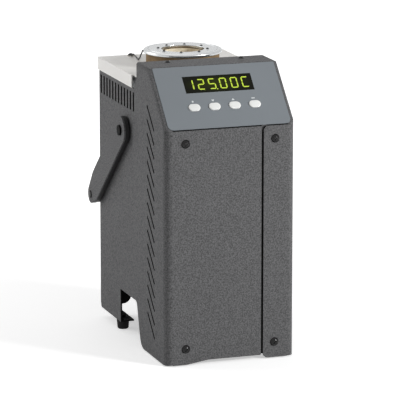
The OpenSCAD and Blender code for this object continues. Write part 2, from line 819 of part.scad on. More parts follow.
// The tan heat-proof collar: it carries the ring and lines the mouth
module well_collar() color(tan_board) from_front() {
    difference() {
        union() {
            translate([0, well_y, cover_z]) cylinder(d = collar_d, h = ring_z - cover_z);
            translate([0, well_y, block_top]) cylinder(d = collar_neck_d, h = ring_z - block_top);
        }
        translate([0, well_y, block_top - 1]) cylinder(d = collar_bore_d, h = ring_z - block_top + 2);
        ring_screw_places() translate([0, 0, -ring_t - 8]) cylinder(d = 2, h = 9);
    }
}

// Places round the well's axis
module round_block(angles) {
    for (a = angles) translate([0, well_y, 0]) rotate([0, 0, a])
        translate([cartridge_pcd / 2, 0, 0]) children();
}

module heater_block() color(bronze) from_front() {
    difference() {
        translate([0, well_y, block_z]) cylinder(d = block_d, h = block_h);
        translate([0, well_y, well_z]) cylinder(d = well_d, h = block_h);
        round_block(cartridge_angles) translate([0, 0, block_z - 1])
            cylinder(d = cartridge_d + 2 * seat_gap, h = cartridge_l + 1);
        round_block([control_angle]) translate([0, 0, block_z - 1])
            cylinder(d = sensor_d + 2 * seat_gap, h = cartridge_l + 1);
        round_block([cutout_angle]) translate([0, 0, block_z - 1])
            cylinder(d = sensor_d + 2 * seat_gap, h = cutout_l + 1);
    }
}

// The insert: a rod with probe holes and a lifting groove under its top
module well_insert() color(bronze) from_front() {
    radius = well_d / 2 - insert_gap;
    groove = 1.5;
    difference() {
        translate([0, well_y, well_z]) rotate_extrude($fn = 96) polygon([
            [0, 0], [radius - 1, 0], [radius, 1], [radius, insert_l - 9], [radius - groove, insert_l - 8],
            [radius - groove, insert_l - 5], [radius, insert_l - 4], [radius, insert_l - 0.6],
            [radius - 0.6, insert_l], [0, insert_l]]);
        for (i = [0:len(probe_d) - 1]) let (deep = probe_depth - i * probe_step)
            translate([0, well_y, well_z + insert_l - deep])
                rotate([0, 0, 90 + i * 360 / len(probe_d)]) translate([probe_pcd / 2, 0, 0])
                    cylinder(d = probe_d[i], h = deep + 1);
    }
}

module heater_cartridges() color(steel) from_front() {
    round_block(cartridge_angles) translate([0, 0, block_z]) cylinder(d = cartridge_d, h = cartridge_l);
}

module control_sensor() color(steel) from_front() {
    round_block([control_angle]) translate([0, 0, block_z]) cylinder(d = sensor_d, h = cartridge_l);
}

module cutout_sensor() color(steel) from_front() {
    round_block([cutout_angle]) translate([0, 0, block_z]) cylinder(d = sensor_d, h = cutout_l);
}

module insulation_jacket() color(fibre_white) from_front() {
    translate([0, well_y, block_z - jacket_floor]) difference() {
        cylinder(d = jacket_d, h = block_h + jacket_floor);
        translate([0, 0, jacket_floor]) cylinder(d = block_d, h = block_h + 1);
        translate([0, 0, -1]) cylinder(d = 12, h = jacket_floor + 2);
    }
}

module heat_shield() color(steel) from_front() {
    translate([0, well_y, shield_z]) difference() {
        cylinder(d = shield_d, h = block_h + jacket_floor + shield_t);
        translate([0, 0, shield_t]) cylinder(d = jacket_d, h = block_h + jacket_floor + 1);
        translate([0, 0, -1]) cylinder(d = 12, h = shield_t + 2);
    }
}

module shield_standoffs() color(steel) from_front() {
    for (a = [0:90:270]) translate([0, well_y, deck_top]) rotate([0, 0, a]) translate([standoff_r, 0, 0])
        cylinder(d = 7, h = shield_z - deck_top, $fn = 6);
}

// The fan's frame: a square with a round duct, a motor plate and its struts
module fan_frame() color(plastic_black) from_front() translate([0, well_y, deck_top]) {
    difference() {
        linear_extrude(fan_h) difference() {
            polygon(rounded([for (q = [[-1, -1], [1, -1], [1, 1], [-1, 1]])
                [q[0] * fan_w / 2, q[1] * fan_w / 2, 3]]));
            circle(d = fan_bore_d, $fn = 96);
        }
        for (x = [-1, 1], y = [-1, 1]) translate([x * fan_hole_pitch / 2, y * fan_hole_pitch / 2, -1])
            cylinder(d = thread_d, h = fan_h + 2);
    }
    translate([0, 0, fan_h - 3]) difference() {
        union() {
            cylinder(d = hub_d, h = 3);
            for (a = [45:90:315]) rotate([0, 0, a]) translate([hub_d / 2 - 2, -1.5, 0])
                cube([(fan_bore_d - hub_d) / 2 + 2.6, 3, 3]);
        }
        translate([0, 0, -1]) cylinder(d = shaft_d, h = 5);
    }
    translate([0, 0, fan_h - 3 - rotor_h * 0.5]) cylinder(d = shaft_d, h = rotor_h * 0.5 + 2);
}

// The rotor: a cup with pitched blades, turning on the frame's shaft
module fan_rotor() color(plastic_black) from_front() translate([0, well_y, rotor_z]) {
    blade_out = fan_bore_d / 2 - tip_gap;
    difference() {
        cylinder(d = hub_d, h = rotor_h);
        translate([0, 0, 2]) cylinder(d = shaft_d + 0.1, h = rotor_h);
    }
    intersection() {
        for (i = [0:blade_count - 1]) rotate([0, 0, i * 360 / blade_count])
            translate([hub_d / 2 - 2, 0, rotor_h / 2]) rotate([38, 0, 0])
                translate([0, -10, -0.8]) cube([blade_out - hub_d / 2 + 4, 20, 1.6]);
        difference() {
            cylinder(r = blade_out, h = rotor_h, $fn = 96);
            translate([0, 0, -1]) cylinder(d = hub_d - 2, h = rotor_h + 2);
        }
    }
}

// The finger guard under the deck: flat wire rings on radial wires
module fan_guard() color(steel) from_front() translate([0, well_y, deck_z]) {
    wire = 1.6;
    reach = fan_hole_pitch / sqrt(2);
    for (r = [12:9:fan_bore_d / 2]) translate([0, 0, -wire * 2]) difference() {
        cylinder(r = r + wire / 2, h = wire + 0.1);
        translate([0, 0, -1]) cylinder(r = r - wire / 2, h = wire + 2.1);
    }
    for (a = [45:90:315]) rotate([0, 0, a]) difference() {
        union() {
            translate([11, -wire / 2, -wire]) cube([reach - 11 - thread_d / 2, wire, wire]);
            translate([reach, 0, -wire]) cylinder(d = 9, h = wire);
        }
        translate([reach, 0, -wire - 1]) cylinder(d = thread_d, h = wire + 2);
    }
}

// The power board ahead of the bulkhead, with its terminals and capacitors
module power_board() color(board_green) from_front() {
    terminal = 8;
    half = power_board_w / 2;
    box(-half, half, power_board_y, power_board_y + board_t, power_board_z, power_board_z + power_board_h);
    for (x = [-half + terminal:1.5 * terminal:half - terminal])
        box(x - terminal / 2, x + terminal / 2, power_board_y - 10, power_board_y, power_board_z + 2,
            power_board_z + 12);
    for (x = [14, half - 14]) translate([x, power_board_y, power_board_z + power_board_h - 20])
        rotate([90, 0, 0]) cylinder(d = 12, h = 22);
}

module board_standoffs() color(steel) from_front() {
    for (s = [-1, 1], z = [power_board_z + 18, power_board_z + power_board_h - 6])
        translate([s * (power_board_w / 2 - 6), bulkhead_y - board_stand, z]) rotate([-90, 0, 0])
            cylinder(d = 6, h = board_stand, $fn = 6);
}

// The transformer: an iron core with its winding across it
module transformer() color(inner_black) from_front() {
    core = [38, 32, 46];
    winding = [50, 12, 34];
    translate([4 - core[0], power_board_y - core[1], power_board_z + 22]) cube(core);
    translate([10 - winding[0], power_board_y - 22, power_board_z + 28]) cube(winding);
}

// Finned heat sink for the heater's triac
module triac_heatsink() color(steel) from_front() {
    size = [40, 20, 40];
    base_t = 4;
    fin_t = 1.6;
    low = power_board_z + power_board_h - 8 - size[2];
    translate([-size[0], power_board_y - base_t, low]) cube([size[0], base_t, size[2]]);
    for (i = [0:6]) translate([-size[0] + i * (size[0] - fin_t) / 6, power_board_y - size[1], low])
        cube([fin_t, size[1] - base_t + 0.1, size[2]]);
}

// Mains inlet: a shrouded body with three pins
module power_inlet() color(plastic_black) from_front() translate([inlet_x, body_d, inlet_z]) {
    difference() {
        union() {
            translate([-inlet_w / 2 - 3, 0, -inlet_h / 2 - 3]) cube([inlet_w + 6, 2, inlet_h + 6]);
            translate([-inlet_w / 2, -18, -inlet_h / 2]) cube([inlet_w, 18.5, inlet_h]);
        }
        translate([0, 3, 0]) rotate([90, 0, 0]) linear_extrude(18) polygon(rounded([
            [-12, -7.8, 1.5], [12, -7.8, 1.5], [12, 3.6, 1], [8, 7.8, 1], [-8, 7.8, 1], [-12, 3.6, 1]]));
    }
    for (p = [[-7, -2], [0, 2], [7, -2]]) translate([p[0] - 1, -15.5, p[1] - 2]) cube([2, 13, 4]);
}

// Fuse drawer under the inlet, with a lip to pull
module fuse_drawer() color(plastic_black) from_front()
    translate([inlet_x, body_d, inlet_z - inlet_h / 2 - fuse_drop - fuse_h / 2]) {
    translate([-fuse_w / 2 + 0.3, -16, -fuse_h / 2 + 0.3]) cube([fuse_w - 0.6, 17, fuse_h - 0.6]);
    translate([-fuse_w / 2 + 3, 0.9, -fuse_h / 2 + 0.3]) cube([fuse_w - 6, 1.6, 2]);
}

// The rocker's housing: a frame snapped into the panel, with the pivot's ears
module switch_housing() color(plastic_black) from_front() translate([switch_x, body_d, inlet_z]) {
    difference() {
        union() {
            translate([-switch_w / 2 - 1.5, 0, -switch_h / 2 - 1.5]) cube([switch_w + 3, 1.5, switch_h + 3]);
            translate([-switch_w / 2, -14, -switch_h / 2]) cube([switch_w, 14.5, switch_h]);
        }
        translate([-switch_w / 2 + 1.5, -9, -switch_h / 2 + 1.5]) cube([switch_w - 3, 12, switch_h - 3]);
        translate([-switch_w / 2 - 1, -3, 0]) rotate([0, 90, 0]) cylinder(d = 2.1, h = switch_w + 2);
    }
}

// The rocker rests with its lower half pressed in
module power_rocker() color(plastic_black) from_front() translate([switch_x, body_d - 3, inlet_z])
    rotate([-rocker_tilt, 0, 0]) {
    width = switch_w - 3.6;
    height = switch_h - 4.6;
    along_x(-width / 2, width / 2) polygon([
        [-3, -height / 2 + 2], [-3, height / 2 - 2], [3.2, height / 2], [4.6, height / 2 - 1],
        [3.4, 0], [4.6, -height / 2 + 1], [3.2, -height / 2]]);
    translate([-switch_w / 2 + 0.2, 0, 0]) rotate([0, 90, 0]) cylinder(d = 2, h = switch_w - 0.4);
}

// Nine-way serial port, standing upright
module serial_port() color(steel) from_front() translate([port_x, body_d, port_z]) {
    translate([-6, 0, -15.4]) cube([12, 1, 30.8]);
    translate([-4.4, -9, -9.4]) cube([8.8, 9.5, 18.8]);
    difference() {
        translate([-4, 0.5, -8.5]) cube([8, 5.5, 17]);
        translate([-3.4, 3, -7.9]) cube([6.8, 5, 15.8]);
    }
    for (s = [-1, 1]) translate([0, 0.5, s * 12.5]) rotate([-90, 0, 0]) difference() {
        cylinder(d = 5.4, h = 4.5, $fn = 6);
        translate([0, 0, 1.5]) cylinder(d = 2.6, h = 4);
    }
}

// Outline of a handle arm: y along the arm, from the pivot to the grip, and z across it
module arm_outline() {
    neck = handle_reach - arm_taper;
    tilt = asin((arm_r - arm_end_r) / arm_taper * 0.9);
    union() {
        circle(arm_r);
        translate([0, -arm_r]) square([neck - arm_r * 0.5, 2 * arm_r]);
        polygon([
            [neck - arm_r * 0.5, -arm_r], [neck + 2, -arm_r],
            [handle_reach + arm_end_r * sin(tilt), -arm_end_r * cos(tilt)],
            [handle_reach + arm_end_r * sin(tilt), arm_end_r * cos(tilt)],
            [neck - arm_r * 0.5, arm_r]]);
        translate([handle_reach, 0]) circle(arm_end_r);
    }
}

// A right-hand arm plate between two places on X, with its pivot and grip holes
module arm_plate(x0, x1, grip_hole) {
    translate([0, pivot_y, pivot_z]) rotate([handle_angle, 0, 0]) difference() {
        along_x(x0, x1) arm_outline();
        translate([x0 - 1, 0, 0]) rotate([0, 90, 0]) cylinder(d = pivot_d + 2 * pivot_gap, h = x1 - x0 + 2);
        translate([x0 - 1, handle_reach, 0]) rotate([0, 90, 0]) cylinder(d = grip_hole, h = x1 - x0 + 2);
    }
}

module right_handle_arm() color(paint_grey) from_front() arm_plate(arm_mid, arm_out, thread_d);
module left_handle_arm() color(paint_grey) from_front() mirror([1, 0, 0]) arm_plate(arm_mid, arm_out, thread_d);
module right_arm_liner() color(plastic_black) from_front() arm_plate(arm_in, arm_mid, thread_d);
module left_arm_liner() color(plastic_black) from_front()
    mirror([1, 0, 0]) arm_plate(arm_in, arm_mid, thread_d);

// The grip across the back, with a screw through each arm
module handle_grip() color(plastic_black) from_front()
    translate([0, pivot_y, pivot_z]) rotate([handle_angle, 0, 0]) translate([0, handle_reach, 0])
        rotate([0, 90, 0]) {
    rotate_extrude() polygon([
        [0, -arm_in], [grip_d / 2 - 1, -arm_in], [grip_d / 2, -arm_in + 1],
        [grip_d / 2, arm_in - 1], [grip_d / 2 - 1, arm_in], [0, arm_in]]);
    for (s = [0, 180]) rotate([s, 0, 0]) {
        translate([0, 0, arm_in - 1]) cylinder(d = thread_d, h = arm_out - arm_in + 1.5);
        translate([0, 0, arm_out]) cylinder(d = 7, h = 1.2);
    }
}

// The pivots: a nut inside, a washer, a plain pin through the arm and a low head
module handle_pivots() color(screw_black) from_front()
    for (s = [-1, 1]) translate([0, pivot_y, pivot_z]) rotate([0, s * 90, 0]) {
        translate([0, 0, inner_w - 5]) cylinder(d = 13, h = 5, $fn = 6);
        translate([0, 0, inner_w - 1]) cylinder(d = pivot_d, h = arm_out - inner_w + 1 + arm_gap);
        translate([0, 0, half_w]) cylinder(d = 14, h = arm_in - arm_gap - half_w);
        translate([0, 0, arm_out + arm_gap]) cylinder(d = 9.6, h = 1.4);
    }

module front_screws() color(screw_black) from_front()
    front_screw_places() dome_screw(head_d, head_h, thread_d, 8);

module console_screws() color(screw_black) from_front()
    console_screw_places() dome_screw(5.6, 1.8, thread_d, 6);

module cover_screws() color(screw_black) from_front()
    cover_screw_places() dome_screw(6, 2, thread_d, 6);

module rear_screws() color(screw_black) from_front()
    rear_screw_places() dome_screw(6, 1.8, thread_d, 7);

// A rubber foot: a tapered pad with a stem through the sheet above it
module rubber_foot() {
    rotate_extrude() polygon([
        [0, 0], [foot_d / 2 - 1.5, 0], [foot_d / 2 - 0.8, 0.8], [foot_d / 2, rear_lift],
        [thread_d / 2, rear_lift], [thread_d / 2, rear_lift + sheet_t],
        [thread_d / 2 + 1.4, rear_lift + sheet_t],
        [thread_d / 2 + 0.6, rear_lift + sheet_t + 2], [0, rear_lift + sheet_t + 2]]);
}

module rubber_feet() color(plastic_black) from_front()
    for (s = [-1, 1]) {
        translate([s * (half_w - bend_r - foot_d / 2 - 2), front_foot_y, 0]) rubber_foot();
        translate([s * (inner_w - foot_d / 2 + 1), body_d - rear_foot_y, 0]) rubber_foot();
    }

// The bonding lead: a tag under the left cover screw, and a thin lead up to the ring's edge
module bonding_lead() color(screw_black) from_front() {
    tag_d = 7;
    rise_angle = 166;
    start = [-cover_screw_x, body_d - cover_screw_inset - tag_d / 2 + 0.5, cover_z + lead_d / 2 + 0.1];
    bend = start - [-1, 8, 0];
    ring_edge = ring_d / 2 + lead_d / 2 + 0.21;
    end = [0, well_y, ring_z + ring_t / 2] + ring_edge * [cos(rise_angle), sin(rise_angle), 0];
    translate([-cover_screw_x, body_d - cover_screw_inset, cover_z]) difference() {
        cylinder(d = tag_d, h = tag_t);
        translate([0, 0, -1]) cylinder(d = thread_d, h = tag_t + 2);
    }
    lead_run(start, bend);
    lead_run(bend, end);
    translate(bend) sphere(d = lead_d + 0.2);
    translate(end) sphere(d = lead_d + 0.4);
}

// A straight run of the lead between two points
module lead_run(from, to) {
    step = to - from;
    translate(from) rotate([0, acos(step[2] / norm(step)), atan2(step[1], step[0])])
        cylinder(d = lead_d, h = norm(step));
}

left_cover();
right_cover();
front_frame();
fan_deck();
bulkhead();
rear_panel();
console_panel();
control_overlay();
display_window();
display_module();
control_board();
button_set();
button_down();
button_up();
button_exit();
top_cover();
well_flange();
flange_screws();
well_collar();
heater_block();
well_insert();
heater_cartridges();
control_sensor();
cutout_sensor();
insulation_jacket();
heat_shield();
shield_standoffs();
fan_frame();
fan_rotor();
fan_guard();
power_board();
transformer();
triac_heatsink();
board_standoffs();
power_inlet();
fuse_drawer();
switch_housing();
power_rocker();
serial_port();
left_handle_arm();
right_handle_arm();
left_arm_liner();
right_arm_liner();
handle_grip();
handle_pivots();
bonding_lead();
front_screws();
console_screws();
cover_screws();
rear_screws();
rubber_feet();
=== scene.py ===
"""Dry block heater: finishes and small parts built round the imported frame."""

import json
import math

import bmesh
import bpy
import numpy as np
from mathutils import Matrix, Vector


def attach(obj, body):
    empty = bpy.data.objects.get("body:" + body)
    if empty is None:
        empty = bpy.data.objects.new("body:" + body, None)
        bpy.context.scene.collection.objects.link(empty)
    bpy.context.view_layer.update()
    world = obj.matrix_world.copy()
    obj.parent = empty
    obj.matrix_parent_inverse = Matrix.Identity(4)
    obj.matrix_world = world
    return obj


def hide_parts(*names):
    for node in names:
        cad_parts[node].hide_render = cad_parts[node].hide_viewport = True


bl_info = {
    "name": "Dry Block Heater",
    "version": (1, 0, 0),
    "blender": (4, 5, 0),
    "location": "View3D > Sidebar > Heater",
    "description": "Dresses a dry block heater with its finishes, display, keys and studio",
    "category": "Object",
}

MM = 0.001
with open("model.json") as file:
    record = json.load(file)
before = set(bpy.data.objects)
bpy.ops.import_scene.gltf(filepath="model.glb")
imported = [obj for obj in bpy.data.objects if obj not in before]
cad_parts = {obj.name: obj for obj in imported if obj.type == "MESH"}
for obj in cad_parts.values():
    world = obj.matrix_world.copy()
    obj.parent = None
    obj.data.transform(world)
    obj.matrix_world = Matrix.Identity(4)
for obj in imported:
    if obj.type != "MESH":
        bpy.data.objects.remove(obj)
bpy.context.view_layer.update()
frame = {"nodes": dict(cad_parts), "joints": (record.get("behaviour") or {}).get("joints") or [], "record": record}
nodes = frame["nodes"]
joints = {joint["name"]: joint for joint in frame["joints"]}
slot_of = {part["node"]: part["material_slot"] for part in frame["record"]["subparts"]}
body_of = {name: body for body, names in frame["record"]["behaviour"]["bodies"].items() for name in names}

KEYS = ("set", "down", "up", "exit")
# The frame's own directions: to the right, away from the front, and up
ACROSS, BACK, UP = (1, 0, 0), (0, 1, 0), (0, 0, 1)
# The console's own directions: out of its face, and up its slope
PANEL_OUT = -np.array(joints["set_press"]["axis"], float)
PANEL_UP = np.array([0.0, PANEL_OUT[2], -PANEL_OUT[1]])


# ---------------------------------------------------------------- places read from the frame

def vertices(name):
    """A CAD node's points as an array."""
    mesh = nodes[name].data
    flat = np.empty(len(mesh.vertices) * 3, np.float32)
    mesh.vertices.foreach_get("co", flat)
    return flat.reshape(-1, 3).astype(float)


def span(name, direction):
    """The least and the greatest reach of a CAD node along a direction."""
    reach = vertices(name) @ np.asarray(direction, float)
    return reach.min(), reach.max()


def middle(name, direction):
    """The middle of a CAD node along a direction."""
    low, high = span(name, direction)
    return (low + high) / 2


def on_panel(x, up, out):
    """Points given across the console, up its slope and out of its face, in the part's frame."""
    x, up, out = np.broadcast_arrays(x, up, out)
    return x[..., None] * np.array(ACROSS, float) + up[..., None] * PANEL_UP + out[..., None] * PANEL_OUT


# ---------------------------------------------------------------- surfaces

def add_piece(name, points, faces, material, body, smooth=35):
    """A mesh object from points and faces, riding on a body and taking its finish from a slot."""
    mesh = bpy.data.meshes.new(name)
    mesh.from_pydata(np.asarray(points).tolist(), [], faces)
    mesh.materials.append(material)
    mesh.polygons.foreach_set("use_smooth", [True] * len(mesh.polygons))
    mesh.set_sharp_from_angle(angle=math.radians(smooth))
    piece = bpy.data.objects.new(name, mesh)
    bpy.context.scene.collection.objects.link(piece)
    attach(piece, body)
    return piece


def grid_faces(rows, columns, wrap_rows=False):
    """Quads of a grid whose columns close on themselves; its rows close too where wrap_rows is set."""
    row = np.arange(rows if wrap_rows else rows - 1)[:, None]
    column = np.arange(columns)[None, :]
    after_row = (row + 1) % rows
    after_column = (column + 1) % columns
    quads = np.stack(np.broadcast_arrays(
        row * columns + column, row * columns + after_column,
        after_row * columns + after_column, after_row * columns + column), axis=-1)
    return quads.reshape(-1, 4).tolist()


def loft(rings):
    """Points and faces of a solid from a stack of closed rings, with flat ends.

    The rings run the right-hand way round the direction in which they are stacked."""
    rows, columns = rings.shape[:2]
    faces = grid_faces(rows, columns)
    faces.append(list(range(columns))[::-1])
    faces.append(list(range((rows - 1) * columns, rows * columns)))
    return rings.reshape(-1, 3), faces


def lathe(profile, centre, turns=96):
    """Points and faces of a closed profile, given as radius and height, carried round a vertical axis.

    A profile point at radius r and height h goes to (r cos a, r sin a, h) for each angle a."""
    angle = np.linspace(0, 2 * math.pi, turns, endpoint=False)
    radius, height = np.asarray(profile, float).T
    x = radius[:, None] * np.cos(angle)
    y = radius[:, None] * np.sin(angle)
    z = np.broadcast_to(height[:, None], x.shape)
    points = np.stack([x, y, z], axis=-1) + np.asarray(centre, float)
    return points.reshape(-1, 3), grid_faces(len(profile), turns, wrap_rows=True)


def rounded_edge(corner, start, end, steps=4):
    """A quarter turn from corner + start to corner + end.

    The arc's centre is corner + start + end. The point at angle a stands from it by
    -end times cos a and -start times sin a."""
    angle = np.linspace(0, math.pi / 2, steps + 1)[:, None]
    corner, start, end = (np.asarray(v, float) for v in (corner, start, end))
    return corner + start + end - end * np.cos(angle) - start * np.sin(angle)


def pill(width, height, inset, steps=12):
    """The outline of a pill, moved inwards by inset, as x and y arrays with a half turn at each end."""
    radius = height / 2 - inset
    shift = (width - height) / 2
    right = np.linspace(-math.pi / 2, math.pi / 2, steps)
    angle = np.concatenate([right, right + math.pi])
    side = np.concatenate([np.full(steps, shift), np.full(steps, -shift)])
    return side + radius * np.cos(angle), radius * np.sin(angle)


def prism(outline, low, high):
    """Rings of an outline (x and y up the panel) between two heights out of the panel."""
    x, up = np.asarray(outline, float).T
    return np.stack([on_panel(x, up, np.full(len(x), level)) for level in (low, high)])


def tube(path, radius, sides=12):
    """Points and faces of a round tube along a path, with rounded ends.

    At each point the circle stands across the path's tangent, and its start is carried from the
    circle before. Past each end stand two smaller circles, at shares of the radius."""
    path = np.asarray(path, float)
    tangent = np.gradient(path, axis=0)
    tangent /= np.linalg.norm(tangent, axis=1)[:, None]
    across = np.cross(tangent[0], [0.0, 0.0, 1.0])
    angle = np.linspace(0, 2 * math.pi, sides, endpoint=False)
    last = len(path) - 1
    near, tip = (0.55, 0.8), (0.85, 0.35)  # how far past the end, and how wide
    stations = [(0, -tip[0], tip[1]), (0, -near[0], near[1])]
    stations += [(index, 0.0, 1.0) for index in range(len(path))]
    stations += [(last, *near), (last, *tip)]
    rings = []
    for index, past, share in stations:
        across = across - tangent[index] * (across @ tangent[index])
        across /= np.linalg.norm(across)
        other = np.cross(tangent[index], across)
        circle = np.cos(angle)[:, None] * across + np.sin(angle)[:, None] * other
        rings.append(path[index] + tangent[index] * past * radius + circle * radius * share)
    return loft(np.array(rings))


def softened(name, edge, material, steps=2):
    """A copy of a CAD node with its doubles merged and its sharp edges rounded by edge."""
    work = bmesh.new()
    work.from_mesh(nodes[name].data)
    bmesh.ops.remove_doubles(work, verts=work.verts, dist=0.001 * MM)
    bmesh.ops.dissolve_limit(work, angle_limit=math.radians(0.5), verts=work.verts, edges=work.edges)
    work.verts.ensure_lookup_table()
    points = [vertex.co[:] for vertex in work.verts]
    faces = [[vertex.index for vertex in face.verts] for face in work.faces]
    work.free()
    piece = add_piece(name + "_shell", points, faces, material, body_of[name])
    bevel = piece.modifiers.new("edges", "BEVEL")
    bevel.width = edge
    bevel.segments = steps
    bevel.limit_method = "ANGLE"
    bevel.angle_limit = math.radians(40)
    bevel.harden_normals = True
    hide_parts(name)
    return piece


def case_plan():
    """The case's half width and the place of its front, seen in plan."""
    return -span("left_cover", ACROSS)[0], span("left_cover", BACK)[0]


def depth_in_case(points, bend):
    """How deep points lie inside the case's painted skin, seen in plan.

    The skin is a rectangle with its two front corners rounded by bend. With u and v the steps
    sideways and forwards past the corner's centre, the depth is
    bend - |(max(u, 0), max(v, 0))| - min(max(u, v), 0)."""
    half, front = case_plan()
    side = np.abs(points[:, 0]) - (half - bend)
    ahead = (front + bend) - points[:, 1]
    past = np.hypot(np.maximum(side, 0), np.maximum(ahead, 0))
    return bend - past - np.minimum(np.maximum(side, ahead), 0)


def face_arrays(piece):
    """The centres and the normals of a piece's faces, one row for each face."""
    faces = piece.data.polygons
    arrays = []
    for kind in ("center", "normal"):
        flat = np.empty(len(faces) * 3, np.float32)
        faces.foreach_get(kind, flat)
        arrays.append(flat.reshape(-1, 3))
    return arrays


def paint_faces(piece, material, chosen):
    """Gives a material to the chosen faces of a piece that has one material so far."""
    piece.data.materials.append(material)
    piece.data.polygons.foreach_set("material_index", chosen.astype(np.int32))


def darken_cut_edges_and_inside(piece, material, bend, depth):
    """Gives a material to the faces of a sheet that lie deeper than depth in the case.

    On a cover these are its inner faces, which are near black, and the walls of its slits, vents and other cut
    edges, whose near-black finish is painted shade. Its level top edges keep their paint: there a normal rises by
    nearly its whole length."""
    level = 0.9
    centres, normals = face_arrays(piece)
    paint_faces(piece, material, (depth_in_case(centres, bend) > depth) & (normals[:, 2] < level))


def bend_strip(side, bend, low, high):
    """Points and faces of a strip that follows a front bend just inside its skin, between two heights.

    At angle a and radius r, a point stands r cos a sideways and r sin a forwards from the bend's
    centre. The strip starts a way round the bend from the side and ends just on the front."""
    first, last, steps = 25, 95, 15
    half, front = case_plan()
    angle = np.radians(np.linspace(first, last, steps))[:, None]
    inner, outer = bend - 1.1 * MM, bend - 0.15 * MM
    radius = np.array([inner, outer, outer, inner])[::side]
    height = np.array([low, low, high, high])[::side]
    x = side * (half - bend + radius * np.cos(angle))
    y = front + bend - radius * np.sin(angle)
    return loft(np.stack([x, y, np.broadcast_to(height, x.shape)], axis=-1))


def paint_bore_light(piece, material, centre):
    """Gives a material to the faces of an upright ring that look towards its axis: for the collar, a pale copy of
    its board as painted light on the lit bore.

    A face looks there where more than half of its normal's length goes to the axis."""
    facing = 0.5
    centres, normals = face_arrays(piece)
    inward = np.asarray(centre) - centres[:, :2]
    inward /= np.maximum(np.linalg.norm(inward, axis=1), MM)[:, None]
    paint_faces(piece, material, (inward * normals[:, :2]).sum(axis=1) > facing)


# ---------------------------------------------------------------- materials

def linear(code):
    """An sRGB hex colour as linear red, green, blue and alpha."""
    parts = [int(code[i:i + 2], 16) / 255 for i in (1, 3, 5)]
    return [c / 12.92 if c <= 0.04045 else ((c + 0.055) / 1.055) ** 2.4 for c in parts] + [1.0]


def add_node(tree, kind, values=None, links=None, **settings):
    """Adds one node with its settings, its socket values and the links into it."""
    new = tree.nodes.new(kind)
    for key, value in settings.items():
        setattr(new, key, value)
    for key, value in (values or {}).items():
        new.inputs[key].default_value = value
    for key, socket in (links or {}).items():
        tree.links.new(socket, new.inputs[key])
    return new


def blank(name, **values):
    """Makes a slot's material with one Principled shader, and returns its tree, shader and place.

    The values are those of the shader's sockets, with _ for a space in a name."""
    material = bpy.data.materials.new(name + "_finish")
    material.use_nodes = True
    tree = material.node_tree
    tree.nodes.clear()
    named = {key.replace("_", " "): value for key, value in values.items()}
    shader = add_node(tree, "ShaderNodeBsdfPrincipled", named)
    add_node(tree, "ShaderNodeOutputMaterial", links={"Surface": shader.outputs[0]})
    place = add_node(tree, "ShaderNodeTexCoord").outputs["Object"]
    return tree, shader, place


def ramp(tree, factor, low, high, stops=(0.0, 1.0)):
    """A colour that goes from low to high between two stops of a factor."""
    new = add_node(tree, "ShaderNodeValToRGB", links={0: factor})
    for element, stop, shade in zip(new.color_ramp.elements, stops, (low, high)):
        element.position = stop
        element.color = shade
    return new.outputs[0]


def noise(tree, place, scale, detail=2.0, **values):
    """A noise of a scale per metre; values are its other sockets."""
    values = {"Scale": scale, "Detail": detail, **values}
    return add_node(tree, "ShaderNodeTexNoise", values, {"Vector": place}).outputs[0]


def bump(tree, shader, height, depth, strength):
    """Bump of a depth in metres on a shader."""
    new = add_node(tree, "ShaderNodeBump", {"Strength": strength, "Distance": depth}, {"Height": height})
    tree.links.new(new.outputs[0], shader.inputs["Normal"])


def shades(code, spread):
    """Two linear colours, spread darker and spread lighter than an sRGB hex colour."""
    base = linear(code)
    return [[c * k for c in base[:3]] + [1.0] for k in (1 - spread, 1 + spread)]


def tint(tree, shader, factor, code, spread, stops=(0.3, 0.7)):
    """A base colour that wanders with a factor between two shades of an sRGB hex colour."""
    wandering = ramp(tree, factor, *shades(code, spread), stops)
    tree.links.new(wandering, shader.inputs["Base Color"])
    return wandering


def vary_roughness(tree, shader, factor, low, high):
    """A roughness that wanders with a factor between two values."""
    new = add_node(tree, "ShaderNodeMapRange", {"To Min": low, "To Max": high}, {"Value": factor})
    tree.links.new(new.outputs[0], shader.inputs["Roughness"])


def powder_coat(name, code, grain, spread, depth, roughness):
    """Textured powder coat on sheet steel: sprayed and baked, so it has a fine even orange peel
    with darker and lighter grains and a broad weak sheen. The grain is drawn a little coarser
    than the real 0.5 mm so that it shows."""
    tree, shader, place = blank(name, Roughness=roughness, IOR=1.5, Specular_IOR_Level=0.03)
    fine = noise(tree, place, 1 / grain, 3.0, Roughness=0.6)
    cell = add_node(tree, "ShaderNodeTexVoronoi", {"Scale": 0.8 / grain}, {"Vector": place})
    cloud = noise(tree, place, 28.0)
    speckle = ramp(tree, fine, *shades(code, spread), (0.36, 0.64))
    cloudy = add_node(tree, "ShaderNodeMix", {0: 0.35}, data_type="RGBA", blend_type="MULTIPLY")
    tree.links.new(speckle, cloudy.inputs[6])
    tree.links.new(ramp(tree, cloud, [0.93, 0.93, 0.93, 1], [1, 1, 1, 1], (0.3, 0.7)), cloudy.inputs[7])
    tree.links.new(cloudy.outputs[2], shader.inputs["Base Color"])
    height = add_node(tree, "ShaderNodeMath", links={0: fine, 1: cell.outputs["Distance"]}, operation="ADD")
    bump(tree, shader, height.outputs[0], depth, 0.5)


def smooth_paint(name, code, roughness=0.42):
    """Light satin paint on the sheet-metal cover: sprayed, with a faint orange peel and soft gloss."""
    tree, shader, place = blank(name, Roughness=roughness, IOR=1.5, Specular_IOR_Level=0.4)
    peel = noise(tree, place, 900.0)
    tint(tree, shader, noise(tree, place, 22.0, 3.0), code, 0.025)
    bump(tree, shader, peel, 0.02 * MM, 0.35)


